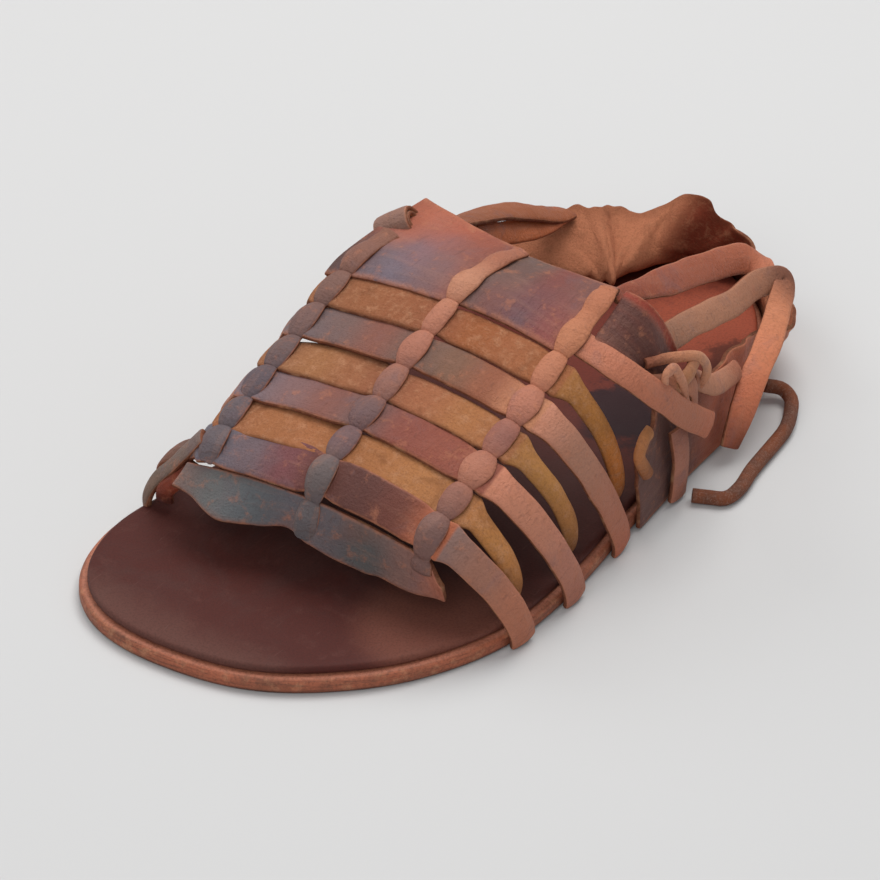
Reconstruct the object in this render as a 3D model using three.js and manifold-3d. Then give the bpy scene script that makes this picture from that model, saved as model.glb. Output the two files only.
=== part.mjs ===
import * as THREE from "three";
import { mergeVertices } from "three/addons/utils/BufferGeometryUtils.js";
import Module from "manifold-3d";

const wasm = await Module();
wasm.setup();

// Named sizes in millimetres. X runs to the toe, Y to the outer side of the left foot, Z up.
const LENGTH = 267;
const WIDTH = 120.5;
const OUTSOLE = 5;
const INSOLE = 2.5;
const GAP = 0.35;
const INSOLE_INSET = 2.4;
const WALL = 2.2;
const BAND = 10.4;
const PITCH = 12.2;
const INSTEP = 73;
const COLUMN_SPREAD = 36.6;
const DISK = 9.6;
const NECK = 5.2;
const DISK_RISE = 1.2;
const STRAP = 9;
const SIDE_GAP = 0.5;
const CUP_WALL = 2;
const CUP_HEIGHT = 34;
const THONG = 10;
const THONG_THICK = 2.2;
const CORD = 4.4;
const INSOLE_TOP = OUTSOLE + GAP + INSOLE;

// Sole outline: turn in degrees from the toe, sides as shares of half the width.
const OUTLINE = [
  { turn: 0, outer: -0.34, inner: -0.34 },
  { turn: 15, outer: 0.133, inner: -0.68 },
  { turn: 30, outer: 0.49, inner: -0.905 },
  { turn: 45, outer: 0.788, inner: -1 },
  { turn: 60, outer: 0.971, inner: -0.951 },
  { turn: 75, outer: 0.996, inner: -0.876 },
  { turn: 90, outer: 0.938, inner: -0.855 },
  { turn: 105, outer: 0.888, inner: -0.866 },
  { turn: 120, outer: 0.855, inner: -0.896 },
  { turn: 135, outer: 0.735, inner: -0.855 },
  { turn: 150, outer: 0.548, inner: -0.697 },
  { turn: 165, outer: 0.299, inner: -0.432 },
  { turn: 180, outer: -0.05, inner: -0.05 },
];

// Top line of the woven sheet, a row per cross band counted from the toe: along the foot and
// skew as shares of half the length, heights and tilt as shares of the instep height, columns as
// shares of half the width.
const TOP_LINE = [
  { band: -0.35, along: 0.628, skew: 0.042, height: 0.275, tilt: 0.05, crown: 0.03, inner: -0.6, outer: 0.61 },
  { band: 0.45, along: 0.603, skew: 0.015, height: 0.39, tilt: 0.01, crown: 0.05, inner: -0.59, outer: 0.61 },
  { band: 1, along: 0.57, skew: 0.009, height: 0.475, tilt: 0, crown: 0.06, inner: -0.59, outer: 0.61 },
  { band: 2, along: 0.498, skew: 0.009, height: 0.54, tilt: 0, crown: 0.062, inner: -0.59, outer: 0.62 },
  { band: 3, along: 0.42, skew: 0.009, height: 0.61, tilt: 0, crown: 0.06, inner: -0.59, outer: 0.625 },
  { band: 4, along: 0.334, skew: 0.009, height: 0.665, tilt: 0, crown: 0.055, inner: -0.59, outer: 0.625 },
  { band: 5, along: 0.245, skew: 0.009, height: 0.735, tilt: 0, crown: 0.062, inner: -0.59, outer: 0.625 },
  { band: 6, along: 0.158, skew: 0.009, height: 0.805, tilt: 0, crown: 0.055, inner: -0.58, outer: 0.625 },
  { band: 7, along: 0.07, skew: 0.009, height: 0.88, tilt: 0, crown: 0.055, inner: -0.56, outer: 0.625 },
  { band: 8, along: -0.04, skew: 0, height: 0.935, tilt: -0.01, crown: 0.01, inner: -0.5, outer: 0.63 },
  { band: 8.8, along: -0.112, skew: -0.02, height: 0.955, tilt: -0.02, crown: -0.03, inner: -0.46, outer: 0.63 },
];

// Side straps, a row per band: how far the foot of the strap lies behind its band, as a share
// of half the length, and whether it wraps over the edge of the sole or tucks in on the insole.
const SIDE_STRAPS = [
  { band: 1, outer: 0.1, inner: 0.06, wraps: true },
  { band: 2, outer: 0.065, inner: 0.08, wraps: false },
  { band: 3, outer: 0.14, inner: 0.12, wraps: true },
  { band: 4, outer: 0.125, inner: 0.13, wraps: false },
  { band: 5, outer: 0.18, inner: 0.15, wraps: true },
  { band: 6, outer: 0.17, inner: 0.15, wraps: false },
  { band: 7, outer: 0.24, inner: 0.17, wraps: true },
];

// Heel cup around the sole, turn in degrees from the toe over the outer side: rim height as a
// share of the cup height, lean of the rim and slump of the wall towards the foot in millimetres.
const CUP = [
  { turn: 91, rim: 0.66, lean: 2.5, slump: 0 },
  { turn: 95, rim: 0.86, lean: 4, slump: 0 },
  { turn: 100, rim: 1.03, lean: 4.5, slump: 0 },
  { turn: 105, rim: 0.96, lean: 4, slump: 0 },
  { turn: 112, rim: 0.84, lean: 2, slump: 0 },
  { turn: 121, rim: 0.8, lean: 3, slump: 0 },
  { turn: 129, rim: 0.66, lean: 1, slump: 0 },
  { turn: 136, rim: 0.56, lean: -7.5, slump: 0 },
  { turn: 143, rim: 0.58, lean: -4.5, slump: 0 },
  { turn: 152, rim: 0.6, lean: -1, slump: 0 },
  { turn: 160, rim: 0.58, lean: 1.5, slump: 1 },
  { turn: 166, rim: 0.72, lean: 3.5, slump: 4 },
  { turn: 171, rim: 0.78, lean: 6, slump: 8 },
  { turn: 175, rim: 0.96, lean: 7.5, slump: 13 },
  { turn: 180, rim: 0.97, lean: 9, slump: 19 },
  { turn: 185, rim: 0.82, lean: 10.5, slump: 24 },
  { turn: 191, rim: 0.68, lean: 12, slump: 28 },
  { turn: 198, rim: 0.7, lean: 13, slump: 31 },
  { turn: 206, rim: 0.74, lean: 13, slump: 32 },
  { turn: 214, rim: 0.68, lean: 11.5, slump: 29 },
  { turn: 222, rim: 0.56, lean: 9, slump: 21 },
  { turn: 231, rim: 0.44, lean: 5, slump: 9 },
  { turn: 238, rim: 0.36, lean: 2, slump: 0 },
];

const HALF_LENGTH = LENGTH / 2;
const HALF_WIDTH = WIDTH / 2;

// Smooth value of one column of a table at a place along its key column.
function rowValue(table, key, column, at) {
  const last = table.length - 1;
  let i = 0;
  while (i < last - 1 && at > table[i + 1][key]) i += 1;
  const a = table[i];
  const b = table[i + 1];
  const before = table[Math.max(i - 1, 0)];
  const after = table[Math.min(i + 2, last)];
  const span = b[key] - a[key];
  const t = Math.min(Math.max((at - a[key]) / span, -0.6), 1.6);
  const rise = b[column] - a[column];
  const slopeA = i > 0 ? ((b[column] - before[column]) / (b[key] - before[key])) * span : rise;
  const slopeB = i + 2 <= last ? ((after[column] - a[column]) / (after[key] - a[key])) * span : rise;
  const t2 = t * t;
  const t3 = t2 * t;
  return (2 * t3 - 3 * t2 + 1) * a[column] + (t3 - 2 * t2 + t) * slopeA
    + (3 * t2 - 2 * t3) * b[column] + (t3 - t2) * slopeB;
}

// The outline as one closed row of places, so that the toe and heel are rounded.
const AROUND = [];
for (let lap = -1; lap <= 1; lap += 1) {
  for (const row of OUTLINE.slice(0, -1)) AROUND.push({ turn: row.turn + lap * 360, side: row.outer });
  for (const row of OUTLINE.slice(1).reverse()) {
    AROUND.push({ turn: 360 - row.turn + lap * 360, side: row.inner });
  }
}

function edgePoint(turn) {
  const x = HALF_LENGTH * Math.cos(THREE.MathUtils.degToRad(turn));
  return new THREE.Vector2(x, HALF_WIDTH * rowValue(AROUND, "turn", "side", turn));
}

// A place on the outline moved outwards by a distance.
function outline(turn, out = 0) {
  const here = edgePoint(turn);
  const along = edgePoint(turn + 0.5).sub(edgePoint(turn - 0.5)).normalize();
  return new THREE.Vector2(here.x + along.y * out, here.y - along.x * out);
}

// Edge of the sole at a length along the foot, on the outer (+1) or inner (-1) side.
function sideEdge(x, side) {
  const turn = THREE.MathUtils.radToDeg(Math.acos(THREE.MathUtils.clamp(x / HALF_LENGTH, -1, 1)));
  return edgePoint(side > 0 ? turn : 360 - turn).y;
}

function solidFrom(positions, triangles) {
  const geometry = new THREE.BufferGeometry();
  geometry.setAttribute("position", new THREE.Float32BufferAttribute(positions, 3));
  geometry.setIndex(triangles);
  return geometry;
}

function asManifold(geometry) {
  const plain = geometry.clone();
  plain.deleteAttribute("normal");
  plain.deleteAttribute("uv");
  const merged = mergeVertices(plain, 1e-4);
  const mesh = new wasm.Mesh({
    numProp: 3,
    vertProperties: new Float32Array(merged.attributes.position.array),
    triVerts: new Uint32Array(merged.index.array),
  });
  return new wasm.Manifold(mesh);
}

function asGeometry(solid) {
  const mesh = solid.getMesh();
  return solidFrom(Array.from(mesh.vertProperties), Array.from(mesh.triVerts));
}

// A flat layer with a rounded edge: rings of the outline from the bottom to the top.
const LAYER_TURNS = 72;

function layer(rings) {
  const positions = [];
  const triangles = [];
  for (const ring of rings) {
    for (let i = 0; i < LAYER_TURNS; i += 1) {
      const p = outline((i * 360) / LAYER_TURNS, ring.out);
      positions.push(p.x, p.y, ring.z);
    }
  }
  for (let r = 0; r < rings.length - 1; r += 1) {
    for (let i = 0; i < LAYER_TURNS; i += 1) {
      const a = r * LAYER_TURNS + i;
      const b = r * LAYER_TURNS + ((i + 1) % LAYER_TURNS);
      triangles.push(a, b, a + LAYER_TURNS, b, b + LAYER_TURNS, a + LAYER_TURNS);
    }
  }
  const bottom = positions.length / 3;
  positions.push(0, 0, rings[0].z, 0, 0, rings[rings.length - 1].z);
  const top = (rings.length - 1) * LAYER_TURNS;
  for (let i = 0; i < LAYER_TURNS; i += 1) {
    const j = (i + 1) % LAYER_TURNS;
    triangles.push(bottom, j, i, bottom + 1, top + i, top + j);
  }
  return solidFrom(positions, triangles);
}

// A wall of cells between two faces. Cells that are left out become openings.
function cellWall(rows, columns, present, place, thick) {
  const positions = [];
  const triangles = [];
  const index = new Map();
  const step = 0.02;
  function node(i, j, inside) {
    const key = (i * 1000 + j) * 2 + (inside ? 1 : 0);
    if (!index.has(key)) {
      const p = place(rows[i], columns[j]);
      const du = place(rows[i], columns[j], step, 0).sub(place(rows[i], columns[j], -step, 0));
      const dv = place(rows[i], columns[j], 0, step).sub(place(rows[i], columns[j], 0, -step));
      const out = dv.cross(du).normalize();
      const wall = thick(rows[i], columns[j]);
      p.addScaledVector(out, inside ? -WALL / 2 : wall - WALL / 2);
      index.set(key, positions.length / 3);
      positions.push(p.x, p.y, p.z);
    }
    return index.get(key);
  }
  const has = (i, j) => i >= 0 && j >= 0 && i < rows.length - 1 && j < columns.length - 1 && present(i, j);
  const side = (a, b) => {
    const [ai, aj, bi, bj] = [...a, ...b];
    triangles.push(node(ai, aj, false), node(ai, aj, true), node(bi, bj, false));
    triangles.push(node(bi, bj, false), node(ai, aj, true), node(bi, bj, true));
  };
  for (let i = 0; i < rows.length - 1; i += 1) {
    for (let j = 0; j < columns.length - 1; j += 1) {
      if (!has(i, j)) continue;
      const o = [node(i, j, false), node(i, j + 1, false), node(i + 1, j + 1, false), node(i + 1, j, false)];
      const n = [node(i, j, true), node(i, j + 1, true), node(i + 1, j + 1, true), node(i + 1, j, true)];
      triangles.push(o[0], o[1], o[2], o[0], o[2], o[3]);
      triangles.push(n[0], n[2], n[1], n[0], n[3], n[2]);
      if (!has(i - 1, j)) side([i, j], [i, j + 1]);
      if (!has(i, j + 1)) side([i, j + 1], [i + 1, j + 1]);
      if (!has(i + 1, j)) side([i + 1, j + 1], [i + 1, j]);
      if (!has(i, j - 1)) side([i + 1, j], [i, j]);
    }
  }
  return solidFrom(positions, triangles);
}

// Lines across the foot: shares of the column spread on the top, then strap cells 0 to 1.
const HALF_DISK = DISK / 2 / COLUMN_SPREAD;
const HALF_NECK = NECK / 2 / COLUMN_SPREAD;
const STRAP_CELLS = 7;
const columns = [];
for (let k = STRAP_CELLS; k > 0; k -= 1) {
  columns.push({ v: -1 - HALF_DISK, w: k / STRAP_CELLS, zone: "strap" });
}
for (const centre of [-1, 0, 1]) {
  for (const edge of [-HALF_DISK, -HALF_NECK, HALF_NECK, HALF_DISK]) {
    columns.push({ v: centre + edge, w: 0, zone: "column", neck: edge === -HALF_NECK });
  }
  if (centre < 1) {
    for (const share of [0.33, 0.67]) {
      columns.push({ v: centre + HALF_DISK + share * (1 - 2 * HALF_DISK), w: 0, zone: "panel" });
    }
  }
}
for (let k = 1; k <= STRAP_CELLS; k += 1) {
  columns.push({ v: 1 + HALF_DISK, w: k / STRAP_CELLS, zone: "strap" });
}

// Lines along the foot: every band has three, and a slit lies between two bands.
const HALF_BAND = BAND / PITCH / 2;
const rows = [
  { s: -0.4, band: 0, kind: "flap" },
  { s: 0.05, band: 0, kind: "flap" },
  { s: 0.44, band: 0, kind: "slit" },
];
for (let band = 1; band <= 6; band += 1) {
  rows.push({ s: band - HALF_BAND, band, kind: "band" });
  rows.push({ s: band, band, kind: "band" });
  rows.push({ s: band + HALF_BAND, band, kind: "slit" });
}
rows.push({ s: 7 - HALF_BAND, band: 7, kind: "rear" });
rows.push({ s: 7, band: 7, kind: "rear" });
rows.push({ s: 7 + HALF_BAND, band: 7, kind: "part" });
rows.push({ s: 7.6, band: 8, kind: "rear" });
rows.push({ s: 8.2, band: 8, kind: "rear" });
rows.push({ s: 8.8, band: 8, kind: "end" });

function cellPresent(i, j) {
  const row = rows[i];
  const left = columns[j];
  const right = columns[j + 1];
  const strap = left.zone === "strap" || right.zone === "strap";
  if (row.kind === "slit") return left.zone === "column" && left.neck === true;
  if (strap && row.kind === "flap") return Math.min(left.w || 0, right.w || 0) < 0.1;
  if (strap && row.kind === "part") return false;
  if (strap && row.band === 8) return left.v > 0;
  return true;
}

function topPoint(s, v) {
  const x = HALF_LENGTH * rowValue(TOP_LINE, "band", "along", s);
  const z = INSTEP * rowValue(TOP_LINE, "band", "height", s);
  const crown = INSTEP * rowValue(TOP_LINE, "band", "crown", s);
  const skew = HALF_LENGTH * rowValue(TOP_LINE, "band", "skew", s);
  const tilt = INSTEP * rowValue(TOP_LINE, "band", "tilt", s);
  const inner = HALF_WIDTH * rowValue(TOP_LINE, "band", "inner", s);
  const outer = HALF_WIDTH * rowValue(TOP_LINE, "band", "outer", s);
  const y = (inner + outer) / 2 + ((outer - inner) / 2) * v;
  return new THREE.Vector3(x - skew * v, y, z - tilt * v + crown * (1 - v * v));
}

// How far a side strap keeps the sheet's slope, as a share of its span, and the way that it comes
// down to its foot at the sole's edge or tucked inside it, on the outer (1) and inner (-1) side.
const REACH = { inner: 0.26, outer: 0.22, rear: 0.42 };
const WRAP_PULL = { 1: new THREE.Vector3(3, 3.5, 11), [-1]: new THREE.Vector3(4, -2.5, 24) };
const TUCK_PULL = { 1: new THREE.Vector3(3.5, 6.5, 12), [-1]: new THREE.Vector3(3, -3, 18) };

// Where the foot of each strap stands, and the way it comes down.
function strapFoot(band, side, across) {
  if (band === 7 && side > 0) {
    return {
      foot: new THREE.Vector3(
        -0.27 * HALF_LENGTH - across * 2,
        0.996 * HALF_WIDTH,
        0.28 * INSTEP + across * STRAP * 0.4,
      ),
      pull: new THREE.Vector3(16, 0, 11),
    };
  }
  if (band === 8) {
    return {
      foot: new THREE.Vector3(
        -0.11 * HALF_LENGTH - across * STRAP * 0.6,
        0.896 * HALF_WIDTH,
        0.66 * INSTEP,
      ),
      pull: new THREE.Vector3(2, -1, 7),
    };
  }
  const row = SIDE_STRAPS[Math.max(band, 1) - 1];
  const back = side > 0 ? row.outer : row.inner;
  const x = HALF_LENGTH * (rowValue(TOP_LINE, "band", "along", band) - back) + across * STRAP * -0.5;
  if (row.wraps) {
    const y = sideEdge(x, side) + side * (SIDE_GAP + WALL / 2);
    return { foot: new THREE.Vector3(x, y, 1.2), pull: WRAP_PULL[side].clone() };
  }
  const y = sideEdge(x, side) - side * (side > 0 ? 6.5 : 9);
  return { foot: new THREE.Vector3(x, y, INSOLE_TOP + 1.5), pull: TUCK_PULL[side].clone() };
}

function sheetPoint(row, column, ds = 0, dv = 0) {
  if (column.zone !== "strap") return topPoint(row.s + ds, column.v + dv);
  const side = Math.sign(column.v);
  const across = (row.s + ds - row.band) / HALF_BAND;
  const edge = topPoint(row.s + ds, column.v);
  const inward = topPoint(row.s + ds, column.v - side * 0.05);
  const slope = edge.clone().sub(inward).normalize();
  const w = column.w + dv * side * 0.2;
  const { foot, pull } = strapFoot(row.band, side, across);
  if (side < 0) slope.add(new THREE.Vector3(0, 0, -1.5)).normalize();
  const reach = (side < 0 ? REACH.inner : row.band < 7 ? REACH.outer : REACH.rear) * edge.distanceTo(foot);
  const points = [edge, edge.clone().addScaledVector(slope, reach), foot.clone().add(pull), foot];
  const curve = new THREE.CubicBezierCurve3(...points);
  const t = THREE.MathUtils.clamp(w, 0, 1);
  const p = curve.getPoint(t);
  return p.addScaledVector(curve.getTangent(t), (w - t) * edge.distanceTo(foot));
}

function sheetThickness(row, column) {
  const onNeck = [-1, 0, 1].some((c) => Math.abs(Math.abs(column.v - c) - HALF_NECK) < 1e-6);
  if (column.zone === "column" && onNeck) return WALL + (Number.isInteger(row.s) ? DISK_RISE : DISK_RISE * 0.5);
  return WALL;
}

// A flat thong swept along rows of places; "face" is the way its broad side looks.
const THONG_SECTION = [
  [-0.5, -0.3], [-0.42, -0.5], [0.42, -0.5], [0.5, -0.3],
  [0.5, 0.3], [0.42, 0.5], [-0.42, 0.5], [-0.5, 0.3],
];

// A point of a route, in the shoe's own sizes.
function place(row, height) {
  return new THREE.Vector3(row.along * HALF_LENGTH, row.side * HALF_WIDTH, row.rise * height);
}

function thong(route, width, thick, steps) {
  const points = route.map((row) => place(row, INSTEP));
  const curve = new THREE.CatmullRomCurve3(points, false, "centripetal");
  const positions = [];
  const triangles = [];
  const count = THONG_SECTION.length;
  for (let k = 0; k <= steps; k += 1) {
    const t = k / steps;
    const p = curve.getPoint(t);
    const along = curve.getTangent(t);
    const spot = t * (route.length - 1);
    const i = Math.min(Math.floor(spot), route.length - 2);
    const face = new THREE.Vector3(...route[i].face).lerp(new THREE.Vector3(...route[i + 1].face), spot - i);
    const across = along.clone().cross(face).normalize();
    const up = across.clone().cross(along).normalize();
    for (const [a, b] of THONG_SECTION) {
      const q = p.clone().addScaledVector(across, a * width).addScaledVector(up, b * thick);
      positions.push(q.x, q.y, q.z);
    }
  }
  for (let k = 0; k < steps; k += 1) {
    for (let i = 0; i < count; i += 1) {
      const a = k * count + i;
      const b = k * count + ((i + 1) % count);
      triangles.push(a, b, a + count, b, b + count, a + count);
    }
  }
  const end = steps * count;
  for (let i = 1; i < count - 1; i += 1) triangles.push(0, i + 1, i, end, end + i, end + i + 1);
  const geometry = solidFrom(positions, triangles);
  return asManifold(geometry).volume() > 0 ? geometry : solidFrom(positions, triangles.reverse());
}

function plainSolid(geometry) {
  const solid = asManifold(geometry);
  return solid.volume() > 0 ? solid : asManifold(solidFrom(
    Array.from(geometry.attributes.position.array),
    Array.from(geometry.index.array).reverse(),
  ));
}

// Routes of the thongs behind the sheet. Along, side and rise are shares of the half length,
// the half width and the instep height. Face is the direction that the flat side looks in.
const STRAP_HIGH = [
  { along: -0.0749, side: 0.6473, rise: 0.9521, face: [0, 0.6, 1] },
  { along: -0.3146, side: 0.639, rise: 0.8082, face: [0, 0.8, 1] },
  { along: -0.5693, side: 0.5809, rise: 0.6301, face: [0, 1, 0.8] },
  { along: -0.7266, side: 0.5809, rise: 0.5137, face: [-0.4, 1, 0.6] },
  { along: -0.7715, side: 0.6805, rise: 0.4589, face: [-1, 1, 0.5] },
];
const STRAP_LOW = [
  { along: -0.1348, side: 0.7967, rise: 0.7123, face: [0, 1, 0.6] },
  { along: -0.3521, side: 0.7635, rise: 0.6164, face: [0, 1, 0.7] },
  { along: -0.5318, side: 0.7469, rise: 0.5342, face: [0, 1, 0.7] },
  { along: -0.6966, side: 0.722, rise: 0.4795, face: [0, 1, 0.6] },
  { along: -0.7491, side: 0.7635, rise: 0.4452, face: [0.3, 1, 0.5] },
  { along: -0.6667, side: 0.8548, rise: 0.4041, face: [0.7, 0.6, 0.5] },
  { along: -0.5768, side: 0.9212, rise: 0.363, face: [0.7, 0.5, 0.6] },
  { along: -0.4869, side: 0.971, rise: 0.3082, face: [0.6, 0.5, 0.6] },
  { along: -0.412, side: 1.0041, rise: 0.2055, face: [0.5, 0.8, 0.4] },
  { along: -0.367, side: 1.0041, rise: 0.0685, face: [0.1, 1, 0.2] },
];
const STRAP_UPRIGHT = [
  { along: -0.1685, side: 0.9461, rise: 0.3493, face: [0, 1, 0.2] },
  { along: -0.1685, side: 0.9759, rise: 0.2466, face: [0, 1, 0.2] },
  { along: -0.1685, side: 0.9859, rise: 0.1233, face: [0, 1, 0] },
  { along: -0.1685, side: 0.9793, rise: 0.0178, face: [0, 1, -0.1] },
];
const STRAP_FAR = [
  { along: -0.1303, side: -0.3817, rise: 0.9, face: [0, -0.3, 1] },
  { along: -0.3146, side: -0.4481, rise: 0.7671, face: [0, 0, 1] },
  { along: -0.5094, side: -0.5145, rise: 0.5959, face: [0, 0.3, 1] },
  { along: -0.6891, side: -0.5477, rise: 0.4095, face: [0, 0.3, 1] },
  { along: -0.7753, side: -0.5759, rise: 0.335, face: [0, 0, 1] },
];
const STRAP_INNER = [
  { along: -0.1423, side: -0.8963, rise: 0.1918, face: [0, -1, 0.2] },
  { along: -0.2846, side: -0.9378, rise: 0.1507, face: [0, -1, 0.1] },
  { along: -0.4345, side: -0.956, rise: 0.1507, face: [0, -1, 0.1] },
  { along: -0.5318, side: -0.9461, rise: 0.1644, face: [0, -1, 0.1] },
  { along: -0.6292, side: -0.9046, rise: 0.1726, face: [-0.1, -1, 0.3] },
];

// Knot: two short thongs crossed over one another.
const KNOT_BACK = [
  { along: -0.0225, side: 0.9212, rise: 0.6849, face: [0, 1, 0.5] },
  { along: -0.0749, side: 0.9544, rise: 0.6507, face: [0, 1, 0.5] },
  { along: -0.1348, side: 0.9876, rise: 0.6164, face: [-0.1, 1, 0.4] },
  { along: -0.1798, side: 0.9959, rise: 0.5479, face: [-0.3, 1, 0.3] },
  { along: -0.1948, side: 0.9876, rise: 0.4384, face: [-0.3, 1, 0.1] },
];
const KNOT_FRONT = [
  { along: -0.0674, side: 0.9461, rise: 0.5342, face: [0.2, 1, 0.2] },
  { along: -0.1049, side: 0.9793, rise: 0.5959, face: [0.1, 1, 0.4] },
  { along: -0.1498, side: 1.0041, rise: 0.6507, face: [0, 1, 0.5] },
  { along: -0.2022, side: 0.971, rise: 0.6712, face: [-0.3, 1, 0.5] },
];

// Loose lace lying beside the heel, its rise in shares of the cord's thickness.
const LACE_ROUTE = [
  { along: -0.6292, side: 0.8664, rise: 1.2273 },
  { along: -0.6554, side: 0.9378, rise: 0.9091 },
  { along: -0.6442, side: 1.0041, rise: 0.6364 },
  { along: -0.6067, side: 1.0539, rise: 0.5227 },
  { along: -0.5393, side: 1.112, rise: 0.5227 },
  { along: -0.4569, side: 1.1369, rise: 0.5227 },
  { along: -0.3521, side: 1.1618, rise: 0.5227 },
  { along: -0.2697, side: 1.195, rise: 0.5227 },
  { along: -0.221, side: 1.1817, rise: 0.5227 },
  { along: -0.2022, side: 1.112, rise: 0.5227 },
  { along: -0.1835, side: 1.044, rise: 0.5909 },
];

function cupGeometry() {
  const turns = [];
  for (let turn = CUP[0].turn; turn <= CUP[CUP.length - 1].turn; turn += 3.35) turns.push(turn);
  const levels = [0, 0.12, 0.28, 0.37, 0.43, 0.5, 0.64, 0.8, 1];
  const positions = [];
  const triangles = [];
  const count = levels.length;
  const shelf = INSOLE_TOP + 1.9;
  const profile = (turn, level) => {
    const rim = CUP_HEIGHT * rowValue(CUP, "turn", "rim", turn);
    const lean = rowValue(CUP, "turn", "lean", turn);
    const slump = rowValue(CUP, "turn", "slump", turn);
    const fold = Math.sin(turn * 0.42) * 0.9 + Math.sin(turn * 0.93 + 1) * 0.5;
    const rise = Math.max(level - 0.12, 0) / 0.88;
    const z = 0.8 + (rim - 0.8) * level;
    const over = THREE.MathUtils.clamp((z - shelf) / (rim - shelf), 0, 1);
    const sag = slump * Math.sin(Math.PI * over ** 0.6);
    return { away: SIDE_GAP + CUP_WALL / 2 - lean * rise ** 1.6 + fold * rise - sag, z };
  };
  const surface = (turn, level, out) => {
    const here = profile(turn, level);
    const below = profile(turn, level - 0.04);
    const above = profile(turn, level + 0.04);
    const run = above.away - below.away;
    const climb = above.z - below.z;
    const size = Math.hypot(run, climb);
    const p = outline(turn, here.away + (out * climb) / size);
    return new THREE.Vector3(p.x, p.y, Math.max(here.z - (out * run) / size, 0.4));
  };
  for (const out of [CUP_WALL / 2, -CUP_WALL / 2]) {
    for (const turn of turns) {
      for (const level of levels) {
        const p = surface(turn, level, out);
        positions.push(p.x, p.y, p.z);
      }
    }
  }
  const inner = turns.length * count;
  const quad = (a, b, c, d) => triangles.push(a, b, c, a, c, d);
  for (let i = 0; i < turns.length - 1; i += 1) {
    for (let j = 0; j < count - 1; j += 1) {
      const a = i * count + j;
      quad(a, a + count, a + count + 1, a + 1);
      quad(inner + a, inner + a + 1, inner + a + count + 1, inner + a + count);
    }
    const low = i * count;
    const high = low + count - 1;
    quad(low, inner + low, inner + low + count, low + count);
    quad(high, high + count, inner + high + count, inner + high);
  }
  const end = (turns.length - 1) * count;
  for (let j = 0; j < count - 1; j += 1) {
    quad(j, j + 1, inner + j + 1, inner + j);
    quad(end + j, inner + end + j, inner + end + j + 1, end + j + 1);
  }
  return solidFrom(positions, triangles);
}

function cordGeometry() {
  const curve = new THREE.CatmullRomCurve3(LACE_ROUTE.map((row) => place(row, CORD)), false, "centripetal");
  const section = new THREE.Shape();
  section.absarc(0, 0, CORD / 2, 0, Math.PI * 2, false);
  return new THREE.ExtrudeGeometry(section, {
    extrudePath: curve, steps: 48, curveSegments: 5, bevelEnabled: false,
  });
}

const group = new THREE.Group();

function add(name, geometry, colour, roughness) {
  const material = new THREE.MeshStandardMaterial({ color: colour, roughness, metalness: 0 });
  const mesh = new THREE.Mesh(geometry, material);
  mesh.name = name;
  group.add(mesh);
}

const outsole = layer([
  { out: -1.4, z: 0 },
  { out: -0.4, z: 0.5 },
  { out: 0, z: 1.8 },
  { out: 0, z: 3.4 },
  { out: -0.5, z: 4.6 },
  { out: -1.3, z: OUTSOLE },
]);
const insole = layer([
  { out: -INSOLE_INSET - 0.4, z: OUTSOLE + GAP },
  { out: -INSOLE_INSET, z: OUTSOLE + GAP + 0.6 },
  { out: -INSOLE_INSET, z: INSOLE_TOP - 0.8 },
  { out: -INSOLE_INSET - 0.9, z: INSOLE_TOP },
]);

const sheet = plainSolid(cellWall(rows, columns, cellPresent, sheetPoint, sheetThickness));
const high = plainSolid(thong(STRAP_HIGH, THONG, THONG_THICK, 20));
const low = plainSolid(thong(STRAP_LOW, THONG * 0.95, THONG_THICK, 34));
const knotBack = plainSolid(thong(KNOT_BACK, THONG * 0.8, THONG_THICK, 10));
const knotFront = plainSolid(thong(KNOT_FRONT, THONG * 0.7, THONG_THICK, 10));
const upper = sheet.add(high).add(low).add(knotBack).add(knotFront);

add("outsole", asGeometry(plainSolid(outsole)), 0x8a5a44, 0.75);
add("insole", asGeometry(plainSolid(insole)), 0x5f443e, 0.6);
add("upper", asGeometry(upper), 0x9b6a58, 0.7);
add("heel_cup", asGeometry(plainSolid(cupGeometry())), 0xa8714f, 0.85);
const upright = plainSolid(thong(STRAP_UPRIGHT, THONG * 0.85, THONG_THICK, 10));
add("upright_strap", asGeometry(upright), 0xb4745c, 0.7);
add("far_strap", asGeometry(plainSolid(thong(STRAP_FAR, THONG * 0.85, THONG_THICK, 14))), 0x8c5230, 0.7);
add("inner_strap", asGeometry(plainSolid(thong(STRAP_INNER, THONG * 0.8, THONG_THICK, 12))), 0xa5683f, 0.7);
add("loose_lace", asGeometry(plainSolid(cordGeometry())), 0x7d6257, 0.75);

export default group;
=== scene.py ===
"""A left leather sandal: woven upper on a flat layered sole, low heel cup, back straps and loose lace."""
import math

import bpy
import numpy as np
from mathutils import Matrix, Vector, noise


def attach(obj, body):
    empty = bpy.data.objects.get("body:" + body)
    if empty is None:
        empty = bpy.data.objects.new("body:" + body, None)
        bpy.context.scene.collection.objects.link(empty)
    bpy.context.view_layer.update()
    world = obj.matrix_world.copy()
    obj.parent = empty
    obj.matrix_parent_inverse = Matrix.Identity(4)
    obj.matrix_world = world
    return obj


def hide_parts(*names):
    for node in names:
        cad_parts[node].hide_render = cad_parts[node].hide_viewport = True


bl_info = {
    "name": "Woven leather sandal",
    "version": (1, 0, 0),
    "blender": (4, 5, 0),
    "location": "View3D > Sidebar > Sandal",
    "description": "Builds a woven leather sandal piece by piece, with its floor, lights and camera",
    "category": "Add Mesh",
}

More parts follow.
